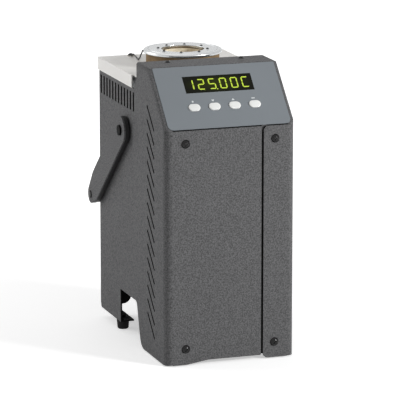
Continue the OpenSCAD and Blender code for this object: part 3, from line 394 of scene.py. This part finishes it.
def sheet_metal(name, code, roughness, spread=0.06):
    """Zinc plated or folded bright metal: rolled, so it has faint streaks along its length."""
    tree, shader, place = blank(name, Metallic=1.0, Roughness=roughness)
    scaled = add_node(tree, "ShaderNodeMapping", {"Scale": (900.0, 900.0, 25.0)}, {"Vector": place})
    streak = noise(tree, scaled.outputs[0], 1.0)
    tint(tree, shader, streak, code, spread)
    vary_roughness(tree, shader, streak, roughness - 0.06, roughness + 0.08)
    bump(tree, shader, streak, 0.01 * MM, 0.2)


def turned_metal(name, code, roughness, centre, pitch):
    """Metal faced on a lathe: the tool leaves fine rings about the axis, which spread a highlight
    across them. The rings' pitch is drawn coarser than the real 0.1 mm so that it shows."""
    tree, shader, place = blank(name, Metallic=1.0, Roughness=roughness)
    moved = add_node(tree, "ShaderNodeMapping", {"Location": (-centre[0], -centre[1], 0.0)},
                     {"Vector": place})
    rings = add_node(tree, "ShaderNodeTexWave",
                     {"Scale": math.pi / 10 / pitch, "Distortion": 0.6, "Detail": 2.0},
                     {"Vector": moved.outputs[0]}, wave_type="RINGS", rings_direction="Z")
    tint(tree, shader, noise(tree, place, 60.0, 3.0), code, 0.05)
    vary_roughness(tree, shader, rings.outputs[1], roughness - 0.05, roughness + 0.07)
    bump(tree, shader, rings.outputs[1], 0.008 * MM, 0.3)


def black_oxide(name, code, roughness):
    """Blackened steel screws: dyed in a hot bath and oiled, so near black with a keen highlight."""
    tree, shader, place = blank(name, Roughness=roughness, IOR=1.5, Specular_IOR_Level=0.32)
    worn = noise(tree, place, 1400.0)
    tint(tree, shader, worn, code, 0.25, (0.4, 0.7))
    bump(tree, shader, worn, 0.01 * MM, 0.2)


def moulded(name, code, roughness, grain, depth, spread=0.05, level=0.4):
    """Moulded plastic or rubber: it copies the mould's spark-eroded grain, with a soft sheen."""
    tree, shader, place = blank(name, Roughness=roughness, IOR=1.5, Specular_IOR_Level=level)
    erosion = noise(tree, place, 1 / grain, 3.0)
    tint(tree, shader, noise(tree, place, 40.0), code, spread)
    vary_roughness(tree, shader, erosion, roughness - 0.05, roughness + 0.08)
    bump(tree, shader, erosion, depth, 0.4)


def heat_board(name, code):
    """Calcium silicate board: pressed from powder and fibre and browned by heat, matte and mottled."""
    tree, shader, place = blank(name, Roughness=0.85, IOR=1.45, Specular_IOR_Level=0.2)
    mottle = noise(tree, place, 160.0, 6.0, Roughness=0.7)
    dust = noise(tree, place, 2200.0)
    tint(tree, shader, mottle, code, 0.22)
    bump(tree, shader, dust, 0.05 * MM, 0.5)


def fibre_blanket(name, code):
    """Ceramic fibre: a felted white blanket, with fine crossing strands and no gloss."""
    tree, shader, place = blank(name, Roughness=1.0, IOR=1.4, Specular_IOR_Level=0.1, Sheen_Weight=0.3)
    strands = noise(tree, place, 700.0, 6.0, Distortion=3.0)
    tint(tree, shader, strands, code, 0.08)
    bump(tree, shader, strands, 0.3 * MM, 0.6)


def printed_film(name, code):
    """Polyester overlay, printed on its back: the film's velvet texture scatters the highlight."""
    tree, shader, place = blank(name, Roughness=0.48, IOR=1.5, Specular_IOR_Level=0.35)
    velvet = noise(tree, place, 2600.0)
    tint(tree, shader, noise(tree, place, 18.0), code, 0.03)
    bump(tree, shader, velvet, 0.012 * MM, 0.4)


def tinted_window(name, dark, glow, centre, half):
    """Smoked acrylic over a lit display: glossy and near black, with the digits' light spreading in it.

    The light fades with the distance from the centre, counted in half sizes of the window."""
    tree, shader, place = blank(name, Roughness=0.12, IOR=1.49, Specular_IOR_Level=0.06)
    moved = add_node(tree, "ShaderNodeMapping", {"Location": [-c for c in centre]}, {"Vector": place})
    level = add_node(tree, "ShaderNodeVectorMath", {1: (PANEL_UP / half[1]).tolist()}, {0: moved.outputs[0]},
                     operation="DOT_PRODUCT")
    side = add_node(tree, "ShaderNodeVectorMath", {1: (1 / half[0], 0, 0)}, {0: moved.outputs[0]},
                    operation="DOT_PRODUCT")
    both = add_node(tree, "ShaderNodeCombineXYZ",
                    links={"X": level.outputs["Value"], "Y": side.outputs["Value"]})
    far = add_node(tree, "ShaderNodeVectorMath", links={0: both.outputs[0]}, operation="LENGTH")
    spread = ramp(tree, far.outputs["Value"], linear(glow), linear(dark), (0.35, 1.05))
    tree.links.new(spread, shader.inputs["Base Color"])
    tree.links.new(spread, shader.inputs["Emission Color"])
    shader.inputs["Emission Strength"].default_value = 0.25


def solder_mask(name, code):
    """Circuit board: glass-epoxy laminate under green lacquer, with copper tracks a shade lighter."""
    tree, shader, place = blank(name, Roughness=0.35, IOR=1.5)
    tracks = add_node(tree, "ShaderNodeTexBrick",
                      {"Scale": 90.0, "Mortar Size": 0.06, "Color1": linear(code),
                       "Color2": shades(code, 0.1)[0], "Mortar": shades(code, 0.5)[1]}, {"Vector": place})
    tree.links.new(tracks.outputs[0], shader.inputs["Base Color"])
    bump(tree, shader, tracks.outputs[1], 0.03 * MM, 0.4)


def lit_segment(name, code, strength):
    """Vacuum fluorescent segment: a phosphor that gives its own even light."""
    tree, shader, place = blank(name, Roughness=0.5, Emission_Strength=strength)
    phosphor = noise(tree, place, 1500.0)
    tree.links.new(tint(tree, shader, phosphor, code, 0.05), shader.inputs["Emission Color"])


# ---------------------------------------------------------------- settings

def length_setting(name, description, default):
    """A length that a user can set."""
    return bpy.props.FloatProperty(
        name=name, description=description, default=default, subtype="DISTANCE", unit="LENGTH")


def colour_setting(name, description, default):
    """An sRGB hex colour that a user can set."""
    return bpy.props.StringProperty(name=name, description=description, default=default)


class HeaterSizes(bpy.types.PropertyGroup):
    digit_height: length_setting("Digit height", "Height of a lit digit", 11.5 * MM)
    digit_width: length_setting("Digit width", "Width of a lit digit", 6.6 * MM)
    digit_pitch: length_setting("Digit pitch", "Distance between digits", 10.3 * MM)
    stroke: length_setting("Stroke", "Width of a lit segment", 1.1 * MM)
    reading: bpy.props.StringProperty(
        name="Reading", description="What the display shows, with a point after a digit", default="125.00C")
    mark_height: length_setting("Mark height", "Height of a mark above a key", 2.3 * MM)
    mark_rise: length_setting("Mark rise", "Place of a mark above its key's middle", 6.6 * MM)
    edge: length_setting("Sheet edge", "Rounding of the painted sheets' edges", 0.2 * MM)
    bend: length_setting("Bend", "Outer radius of the covers' front bends", 7 * MM)
    lead: length_setting("Lead", "Diameter of the bonding lead", 1.2 * MM)


class HeaterColours(bpy.types.PropertyGroup):
    case: colour_setting("Case", "Powder coat", "#656566")
    # Also the painted shade on the walls of the covers' slits, vents and cut edges
    inside: colour_setting("Inside", "Inner sheets", "#1c1c1c")
    cover: colour_setting("Cover", "Top cover", "#e8e6e2")
    overlay: colour_setting("Overlay", "Console overlay", "#7e8489")
    key: colour_setting("Keys", "Keys", "#f2f3f1")
    lit: colour_setting("Lit segments", "Display's light", "#b9d23c")
    window: colour_setting("Window", "Display window", "#14150f")
    glow: colour_setting("Glow", "Light spread in the window", "#262c0e")
    steel: colour_setting("Ring", "Stainless ring", "#bcbebf")
    # Painted light and shade: the collar's brown is darkened as painted shade on its outside, and its bore takes
    # the pale colour below as painted light
    board: colour_setting("Collar", "Heat-proof collar", "#8a7458")
    bore_light: colour_setting("Collar lining", "Inside of the collar", "#f0e8d2")
    bronze: colour_setting("Block", "Block and insert", "#b99764")


def sizes():
    return bpy.context.scene.heater_sizes


def colours():
    return bpy.context.scene.heater_colours


def finish(slot):
    """The material made for a slot of the record."""
    return bpy.data.materials[slot + "_finish"]


# ---------------------------------------------------------------- operators

class HEATER_OT_finishes(bpy.types.Operator):
    """Makes a finish for each slot and gives it to the frame's nodes"""
    bl_idname = "heater.finishes"
    bl_label = "Finishes"

    def execute(self, context):
        tone = colours()
        centre = [middle("well_flange", ACROSS), middle("well_flange", BACK)]
        window = on_panel(middle("display_window", ACROSS), middle("display_window", PANEL_UP),
                          middle("display_window", PANEL_OUT))
        half = [(b - a) / 2 for a, b in (span("display_window", ACROSS), span("display_window", PANEL_UP))]
        turning = 0.5 * MM
        powder_coat("case_paint", tone.case, grain=1.2 * MM, spread=0.36, depth=0.12 * MM, roughness=0.55)
        # Also given to the covers' cut edges and slits as painted shade
        powder_coat("inner_black", tone.inside, grain=0.8 * MM, spread=0.12, depth=0.08 * MM, roughness=0.5)
        powder_coat("dull_black", "#0c0c0c", grain=0.5 * MM, spread=0.2, depth=0.02 * MM, roughness=0.6)
        smooth_paint("cover_paint", tone.cover)
        sheet_metal("plated_steel", "#b4b6b8", roughness=0.35)
        sheet_metal("aluminium", "#cccfd1", roughness=0.3)
        sheet_metal("nickel", "#c9c6bf", roughness=0.25)
        turned_metal("stainless", tone.steel, roughness=0.26, centre=centre, pitch=turning)
        turned_metal("bronze", tone.bronze, roughness=0.32, centre=centre, pitch=turning)
        black_oxide("black_steel", "#060607", roughness=0.12)
        heat_board("collar_board", tone.board)
        # A pale copy of the collar's board, as painted light on its lit bore
        heat_board("collar_bore_light", tone.bore_light)
        fibre_blanket("fibre", "#ebe8e3")
        printed_film("overlay", tone.overlay)
        tinted_window("window", tone.window, tone.glow, window, half)
        moulded("button", tone.key, roughness=0.3, grain=1.5 * MM, depth=0.004 * MM, spread=0.02,
                level=0.5)
        moulded("black_plastic", "#141414", roughness=0.42, grain=0.5 * MM, depth=0.02 * MM)
        moulded("grip_black", "#0e0e0e", roughness=0.5, grain=0.7 * MM, depth=0.03 * MM, spread=0.1,
                level=0.35)
        moulded("rubber", "#121212", roughness=0.75, grain=0.6 * MM, depth=0.04 * MM, spread=0.1,
                level=0.25)
        moulded("ink", "#dfe3e4", roughness=0.5, grain=1.0 * MM, depth=0.002 * MM, spread=0.02)
        solder_mask("board", "#1d5a33")
        lit_segment("phosphor", tone.lit, strength=0.3)
        for name, part in nodes.items():
            part.data.materials.clear()
            part.data.materials.append(finish(slot_of[name]))
        # The pivots' broad heads are duller than the small screws
        nodes["handle_pivots"].data.materials[0] = finish("dull_black")
        return {"FINISHED"}


class HEATER_OT_sheets(bpy.types.Operator):
    """Rounds the folded sheets' and the arms' edges, and closes the console's lower corners"""
    bl_idname = "heater.sheets"
    bl_label = "Folded sheets"

    def execute(self, context):
        edge = sizes().edge
        bend = sizes().bend
        skin = 0.3 * MM
        for name in ("left_cover", "right_cover"):
            cover = softened(name, edge, finish("case_paint"))
            # Painted shade: the covers' cut edges, as in their slits and vents, take the near-black inner finish
            darken_cut_edges_and_inside(cover, finish("inner_black"), bend, skin)
        for name in ("console_panel", "rear_panel", "top_cover", "left_handle_arm", "right_handle_arm"):
            softened(name, edge, finish(slot_of[name]))
        for name in ("left_arm_liner", "right_arm_liner"):
            softened(name, 2 * edge, finish(slot_of[name]))
        # Each strip stands under the lip of the covers, where the console's roll misses their bend
        lip = 212.5 * MM
        low, high = lip - 6.5 * MM, lip - 0.9 * MM
        for name, side in (("left_corner_strip", -1), ("right_corner_strip", 1)):
            points, faces = bend_strip(side, bend, low, high)
            add_piece(name, points, faces, finish("case_paint"), "case")
        return {"FINISHED"}


class HEATER_OT_keys(bpy.types.Operator):
    """Makes the four moulded keys, each with a flange inside and a crowned face"""
    bl_idname = "heater.keys"
    bl_label = "Keys"

    def execute(self, context):
        edge = 0.7 * MM    # radius between a key's side and its face
        crown = 0.18 * MM  # rise of the face's middle
        ridge = 0.2 * MM   # half width of the flat left on the crown
        hold = 1.2 * MM    # reach of the flange behind the panel
        flange = 1.0 * MM  # its thickness
        for key in KEYS:
            name = "button_" + key
            x = middle(name, ACROSS)
            up = middle(name, PANEL_UP)
            low, high = span(name, PANEL_OUT)
            left, right = span(name, ACROSS)
            bottom, top = span(name, PANEL_UP)
            width = right - left - 2 * hold
            height = top - bottom - 2 * hold
            turn = np.linspace(0, math.pi / 2, 6)
            share = np.linspace(0, 1, 7)[1:]
            inward = height / 2 - edge - ridge
            inset = np.concatenate([[-hold, -hold, 0.0], edge * (1 - np.cos(turn)), edge + inward * share])
            shoulder = high - crown
            level = np.concatenate([[low, low + flange, low + flange], shoulder - edge + edge * np.sin(turn),
                                    shoulder + crown * (1 - (1 - share) ** 2)])
            rings = []
            for step_in, out in zip(inset, level):
                across, along = pill(width, height, step_in)
                rings.append(on_panel(x + across, up + along, np.full(len(across), out)))
            points, faces = loft(np.array(rings))
            piece = add_piece("key_" + key, points, faces, finish("button"), key + "_key", 30)
            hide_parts(name)
        return {"FINISHED"}


SEGMENTS = {
    "0": "abcdef", "1": "bc", "2": "abged", "3": "abgcd", "4": "fgbc", "5": "afgcd",
    "6": "afgedc", "7": "abc", "8": "abcdefg", "9": "abcdfg", "C": "afed", "-": "g",
}


def segment_outline(letter, width, height, stroke):
    """A segment's outline: a bar with pointed ends, lying or standing at its place in the cell."""
    gap = 0.12 * MM
    right = (width - stroke) / 2
    upper = (height - stroke) / 2
    lying = {"a": (0, upper), "g": (0, 0), "d": (0, -upper)}
    standing = {"b": (right, upper / 2), "c": (right, -upper / 2),
                "e": (-right, -upper / 2), "f": (-right, upper / 2)}
    half = (right if letter in lying else upper / 2) - gap
    bar = np.array([[-half, 0], [-half + stroke / 2, -stroke / 2], [half - stroke / 2, -stroke / 2],
                    [half, 0], [half - stroke / 2, stroke / 2], [-half + stroke / 2, stroke / 2]])
    if letter in lying:
        return bar + lying[letter]
    return bar[:, ::-1][::-1] + standing[letter]


class HEATER_OT_display(bpy.types.Operator):
    """Makes the lit digits of the display"""
    bl_idname = "heater.display"
    bl_label = "Display"

    def execute(self, context):
        size = sizes()
        lift = 0.05 * MM
        leftwards = 0.6 * MM
        point_gap = 0.5 * MM
        point_radius = 0.55 * size.stroke
        face = span("display_window", PANEL_OUT)[1]
        up = middle("display_window", PANEL_UP)
        cells = []
        for letter in size.reading:
            if letter == ".":
                cells[-1] += letter
            else:
                cells.append(letter)
        points, faces = [], []
        for index, cell in enumerate(cells):
            x = (index - (len(cells) - 1) / 2) * size.digit_pitch - leftwards
            outlines = [segment_outline(s, size.digit_width, size.digit_height, size.stroke)
                        for s in SEGMENTS[cell[0]]]
            if cell.endswith("."):
                turn = np.linspace(0, 2 * math.pi, 12, endpoint=False)
                dot = np.stack([np.cos(turn), np.sin(turn)], axis=1) * point_radius
                outlines.append(dot + [size.digit_width / 2 + point_gap, -size.digit_height / 2])
            for outline in outlines:
                more, sides = loft(prism(outline + [x, up], face - lift, face + lift))
                faces += [[i + len(points) for i in side] for side in sides]
                points += more.tolist()
        add_piece("lit_digits", points, faces, finish("phosphor"), "case", 10)
        return {"FINISHED"}


class HEATER_OT_marks(bpy.types.Operator):
    """Prints a plain mark above each key: a ring, two arrows and a bar"""
    bl_idname = "heater.marks"
    bl_label = "Key marks"

    def execute(self, context):
        size = sizes()
        half = size.mark_height / 2
        sunk, proud = 0.1 * MM, 0.02 * MM
        face = span("control_overlay", PANEL_OUT)[1]
        turn = np.linspace(0, 2 * math.pi, 24, endpoint=False)
        circle = np.stack([np.cos(turn), np.sin(turn)], axis=1) * half * 0.8
        arrow = np.array([[-1.3 * half, -0.8 * half], [1.3 * half, -0.8 * half], [0, half]])
        bar = np.array([[-1.4, -0.45], [1.4, -0.45], [1.4, 0.45], [-1.4, 0.45]]) * half
        outlines = {"set": circle, "down": arrow[::-1] * [1, -1], "up": arrow, "exit": bar}
        for key in KEYS:
            place = [middle("button_" + key, ACROSS), middle("button_" + key, PANEL_UP) + size.mark_rise]
            points, faces = loft(prism(outlines[key] + place, face - sunk, face + proud))
            add_piece("mark_" + key, points, faces, finish("ink"), "case", 10)
        return {"FINISHED"}


class HEATER_OT_ring(bpy.types.Operator):
    """Turns the stainless ring, with a rounded rim and a fine groove inside it, and the collar under it"""
    bl_idname = "heater.ring"
    bl_label = "Ring"

    def execute(self, context):
        x = middle("well_flange", ACROSS)
        y = middle("well_flange", BACK)
        low, high = span("well_flange", UP)
        left, right = span("well_flange", ACROSS)
        outer = (right - left) / 2
        points = vertices("well_flange")
        inner = np.hypot(points[:, 0] - x, points[:, 1] - y).min()
        soft = 1.5 * MM     # radius of the rim's outer edge
        fine = 0.4 * MM     # radius of the other edges
        groove = 0.35 * MM  # depth of the groove, and half its width
        line = outer - 4.2 * MM
        profile = np.concatenate([
            rounded_edge((inner, low), (0, fine), (fine, 0)),
            rounded_edge((outer, low), (-fine, 0), (0, fine)),
            rounded_edge((outer, high), (0, -soft), (-soft, 0), 6),
            [(line + groove, high), (line + groove / 2, high - groove),
             (line - groove / 2, high - groove), (line - groove, high)],
            rounded_edge((inner, high), (fine, 0), (0, -fine))])
        points, faces = lathe(profile, (x, y, 0.0), 128)
        piece = add_piece("turned_ring", points, faces, finish("stainless"), "case", 50)
        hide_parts("well_flange")
        collar = softened("well_collar", sizes().edge, finish("collar_board"))
        # Painted light and shade: the bore takes the pale copy as painted light, the outside the darker brown as
        # painted shade
        paint_bore_light(collar, finish("collar_bore_light"), (x, y))
        return {"FINISHED"}


class HEATER_OT_lead(bpy.types.Operator):
    """Runs the thin bonding lead from its tag on the cover up to the ring"""
    bl_idname = "heater.lead"
    bl_label = "Bonding lead"

    def execute(self, context):
        radius = sizes().lead / 2
        tag = 0.8 * MM   # thickness of the tag
        head = 3.0 * MM  # radius of the cover screws' heads
        cover = span("top_cover", UP)[1]
        x = span("cover_screws", ACROSS)[0] + head
        y = middle("cover_screws", BACK)
        well = np.array([middle("well_flange", ACROSS), middle("well_flange", BACK),
                         middle("well_flange", UP)])
        left, right = span("well_flange", ACROSS)
        side = math.radians(166)  # where the lead meets the ring, round from its right
        out = (right - left) / 2 + radius
        ring_edge = well + out * np.array([math.cos(side), math.sin(side), 0.0])
        rest = cover + radius + 0.1 * MM
        corners = np.array([
            [x, y - 2.9 * MM, rest + 0.3 * MM],
            [x + 0.4 * MM, y - 7 * MM, rest + 2.2 * MM],
            [x + 0.9 * MM, y - 13 * MM, rest + 0.8 * MM],
            [x + 0.6 * MM, y - 20 * MM, rest],
            [x - 0.6 * MM, y - 28 * MM, rest + 1.4 * MM],
            [x - 2.4 * MM, y - 38 * MM, rest + 6.5 * MM],
            ring_edge])
        points, faces = tube(smooth_path(corners, 8), radius)
        wire = add_piece("lead_wire", points, faces, finish("grip_black"), "case", 60)
        hole, rim = head * 0.7, head * 1.17
        loop = [(hole, cover), (rim, cover), (rim, cover + tag), (hole, cover + tag)]
        points, faces = lathe(loop, (x, y, 0.0), 32)
        add_piece("lead_tag", points, faces, finish("nickel"), "case", 30)
        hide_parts("bonding_lead")
        return {"FINISHED"}


def smooth_path(corners, steps):
    """A curve through the corners.

    Between two corners b and c, with a before and d after, the point at t is
    half of (2b + (c - a) t + (2a - 5b + 4c - d) t^2 + (3b - a - 3c + d) t^3)."""
    padded = np.vstack([2 * corners[0] - corners[1], corners, 2 * corners[-1] - corners[-2]])
    t = np.linspace(0, 1, steps, endpoint=False)[None, :, None]
    a, b, c, d = (padded[i:len(padded) - 3 + i, None, :] for i in range(4))
    run = 0.5 * (2 * b + (c - a) * t + (2 * a - 5 * b + 4 * c - d) * t ** 2
                 + (3 * b - a - 3 * c + d) * t ** 3)
    return np.vstack([run.reshape(-1, 3), corners[-1]])


class HEATER_OT_stage(bpy.types.Operator):
    """Makes the floor, the white surroundings, the lamps and the camera"""
    bl_idname = "heater.stage"
    bl_label = "Stage"

    def execute(self, context):
        make_floor()
        make_world()
        make_lamps()
        make_camera()
        bpy.context.scene.view_settings.view_transform = "Standard"
        return {"FINISHED"}


def seen_ray(tree):
    """A light path, and a value that is 1 for rays from the camera and from mirrors, else 0."""
    path = add_node(tree, "ShaderNodeLightPath")
    seen = add_node(tree, "ShaderNodeMath", operation="MAXIMUM",
                    links={0: path.outputs["Is Camera Ray"], 1: path.outputs["Is Glossy Ray"]})
    return path, seen.outputs[0]


def make_floor():
    """A pale plain floor, far wider than the view, that keeps the object's shadow.

    Where it is seen it gives a little light of its own, more of it far from the object."""
    reach = 6.0
    near, far_off = 0.25, 1.2
    mesh = bpy.data.meshes.new("studio_floor")
    mesh.from_pydata([(-reach, -reach, 0), (reach, -reach, 0), (reach, reach, 0), (-reach, reach, 0)],
                     [], [(0, 1, 2, 3)])
    floor = bpy.data.objects.new("studio_floor", mesh)
    bpy.context.scene.collection.objects.link(floor)
    material = bpy.data.materials.new("pale_floor")
    material.use_nodes = True
    tree = material.node_tree
    tree.nodes.clear()
    matte = add_node(tree, "ShaderNodeBsdfDiffuse", {"Color": linear("#f4f4f4")})
    seen = seen_ray(tree)[1]
    place = add_node(tree, "ShaderNodeTexCoord").outputs["Object"]
    far = add_node(tree, "ShaderNodeVectorMath", links={0: place}, operation="LENGTH")
    rise = add_node(tree, "ShaderNodeMapRange",
                    {"From Min": near, "From Max": far_off, "To Min": 0.5, "To Max": 0.85},
                    {"Value": far.outputs["Value"]})
    strength = add_node(tree, "ShaderNodeMath", links={0: seen, 1: rise.outputs[0]}, operation="MULTIPLY")
    lift = add_node(tree, "ShaderNodeEmission", {"Color": (1, 1, 1, 1)}, {"Strength": strength.outputs[0]})
    both = add_node(tree, "ShaderNodeAddShader", links={0: matte.outputs[0], 1: lift.outputs[0]})
    add_node(tree, "ShaderNodeOutputMaterial", links={"Surface": both.outputs[0]})
    mesh.materials.append(material)


def make_world():
    """White where it is seen or mirrored, and a plain dim fill otherwise."""
    world = bpy.data.worlds.new("studio")
    bpy.context.scene.world = world
    world.use_nodes = True
    tree = world.node_tree
    tree.nodes.clear()
    path, mirrored = seen_ray(tree)
    seen = add_node(tree, "ShaderNodeMath", operation="MAXIMUM",
                    links={0: mirrored, 1: path.outputs["Is Transmission Ray"]})
    strength = add_node(tree, "ShaderNodeMapRange", {"To Min": 0.25, "To Max": 1.0},
                        {"Value": seen.outputs[0]})
    light = add_node(tree, "ShaderNodeBackground", {"Color": (1, 1, 1, 1)},
                     {"Strength": strength.outputs[0]})
    add_node(tree, "ShaderNodeOutputWorld", links={"Surface": light.outputs[0]})


def make_lamps():
    """Large soft lamps left and above, and a smaller one in front that gives keen highlights.

    Each has its place, width in metres and power in watts, and all aim half way up the case."""
    aim = Vector((0, 0, 0.13))
    lamps = (("side_lamp", (-1.35, 1.0, 0.7), 1.2, 13.0),
             ("front_lamp", (1.2, -1.35, 0.85), 0.42, 26.0),
             ("top_lamp", (-0.1, 0.8, 1.75), 1.2, 4.6))
    for name, place, width, power in lamps:
        light = bpy.data.lights.new(name, "AREA")
        light.shape = "SQUARE"
        light.size = width
        light.energy = power
        lamp = bpy.data.objects.new(name, light)
        lamp.location = place
        lamp.rotation_euler = (aim - Vector(place)).to_track_quat("-Z", "Y").to_euler()
        bpy.context.scene.collection.objects.link(lamp)


def make_camera():
    """A long lens, a little above and to the left of the front."""
    yaw = math.radians(18.97)
    pitch = math.radians(12.4)
    distance = 2.811
    front = case_plan()[1]
    # The point looked at: a little left of the middle, behind the front and half way up
    target = Vector((-5.18 * MM, front + 67.92 * MM, 134.06 * MM))
    away = Vector((-math.sin(yaw) * math.cos(pitch), -math.cos(yaw) * math.cos(pitch), math.sin(pitch)))
    data = bpy.data.cameras.new("camera")
    data.lens = 280.6
    data.sensor_width = 36.0
    data.clip_end = 30.0
    camera = bpy.data.objects.new("camera", data)
    camera.location = target + away * distance
    camera.rotation_euler = (-away).to_track_quat("-Z", "Y").to_euler()
    bpy.context.scene.collection.objects.link(camera)
    bpy.context.scene.camera = camera


OPERATORS = (HEATER_OT_finishes, HEATER_OT_sheets, HEATER_OT_keys, HEATER_OT_display, HEATER_OT_marks,
             HEATER_OT_ring, HEATER_OT_lead, HEATER_OT_stage)


class HEATER_PT_sidebar(bpy.types.Panel):
    bl_idname = "HEATER_PT_sidebar"
    bl_label = "Dry Block Heater"
    bl_space_type = "VIEW_3D"
    bl_region_type = "UI"
    bl_category = "Heater"

    def draw(self, context):
        for group in (context.scene.heater_sizes, context.scene.heater_colours):
            for key in group.__annotations__:
                self.layout.prop(group, key)
        for operator in OPERATORS:
            self.layout.operator(operator.bl_idname)


CLASSES = (HeaterSizes, HeaterColours) + OPERATORS + (HEATER_PT_sidebar,)


def register():
    for item in CLASSES:
        bpy.utils.register_class(item)
    bpy.types.Scene.heater_sizes = bpy.props.PointerProperty(type=HeaterSizes)
    bpy.types.Scene.heater_colours = bpy.props.PointerProperty(type=HeaterColours)


def unregister():
    del bpy.types.Scene.heater_colours
    del bpy.types.Scene.heater_sizes
    for item in reversed(CLASSES):
        bpy.utils.unregister_class(item)


def main():
    register()
    for operator in OPERATORS:
        group, name = operator.bl_idname.split(".")
        getattr(getattr(bpy.ops, group), name)()


if __name__ == "__main__":
    main()
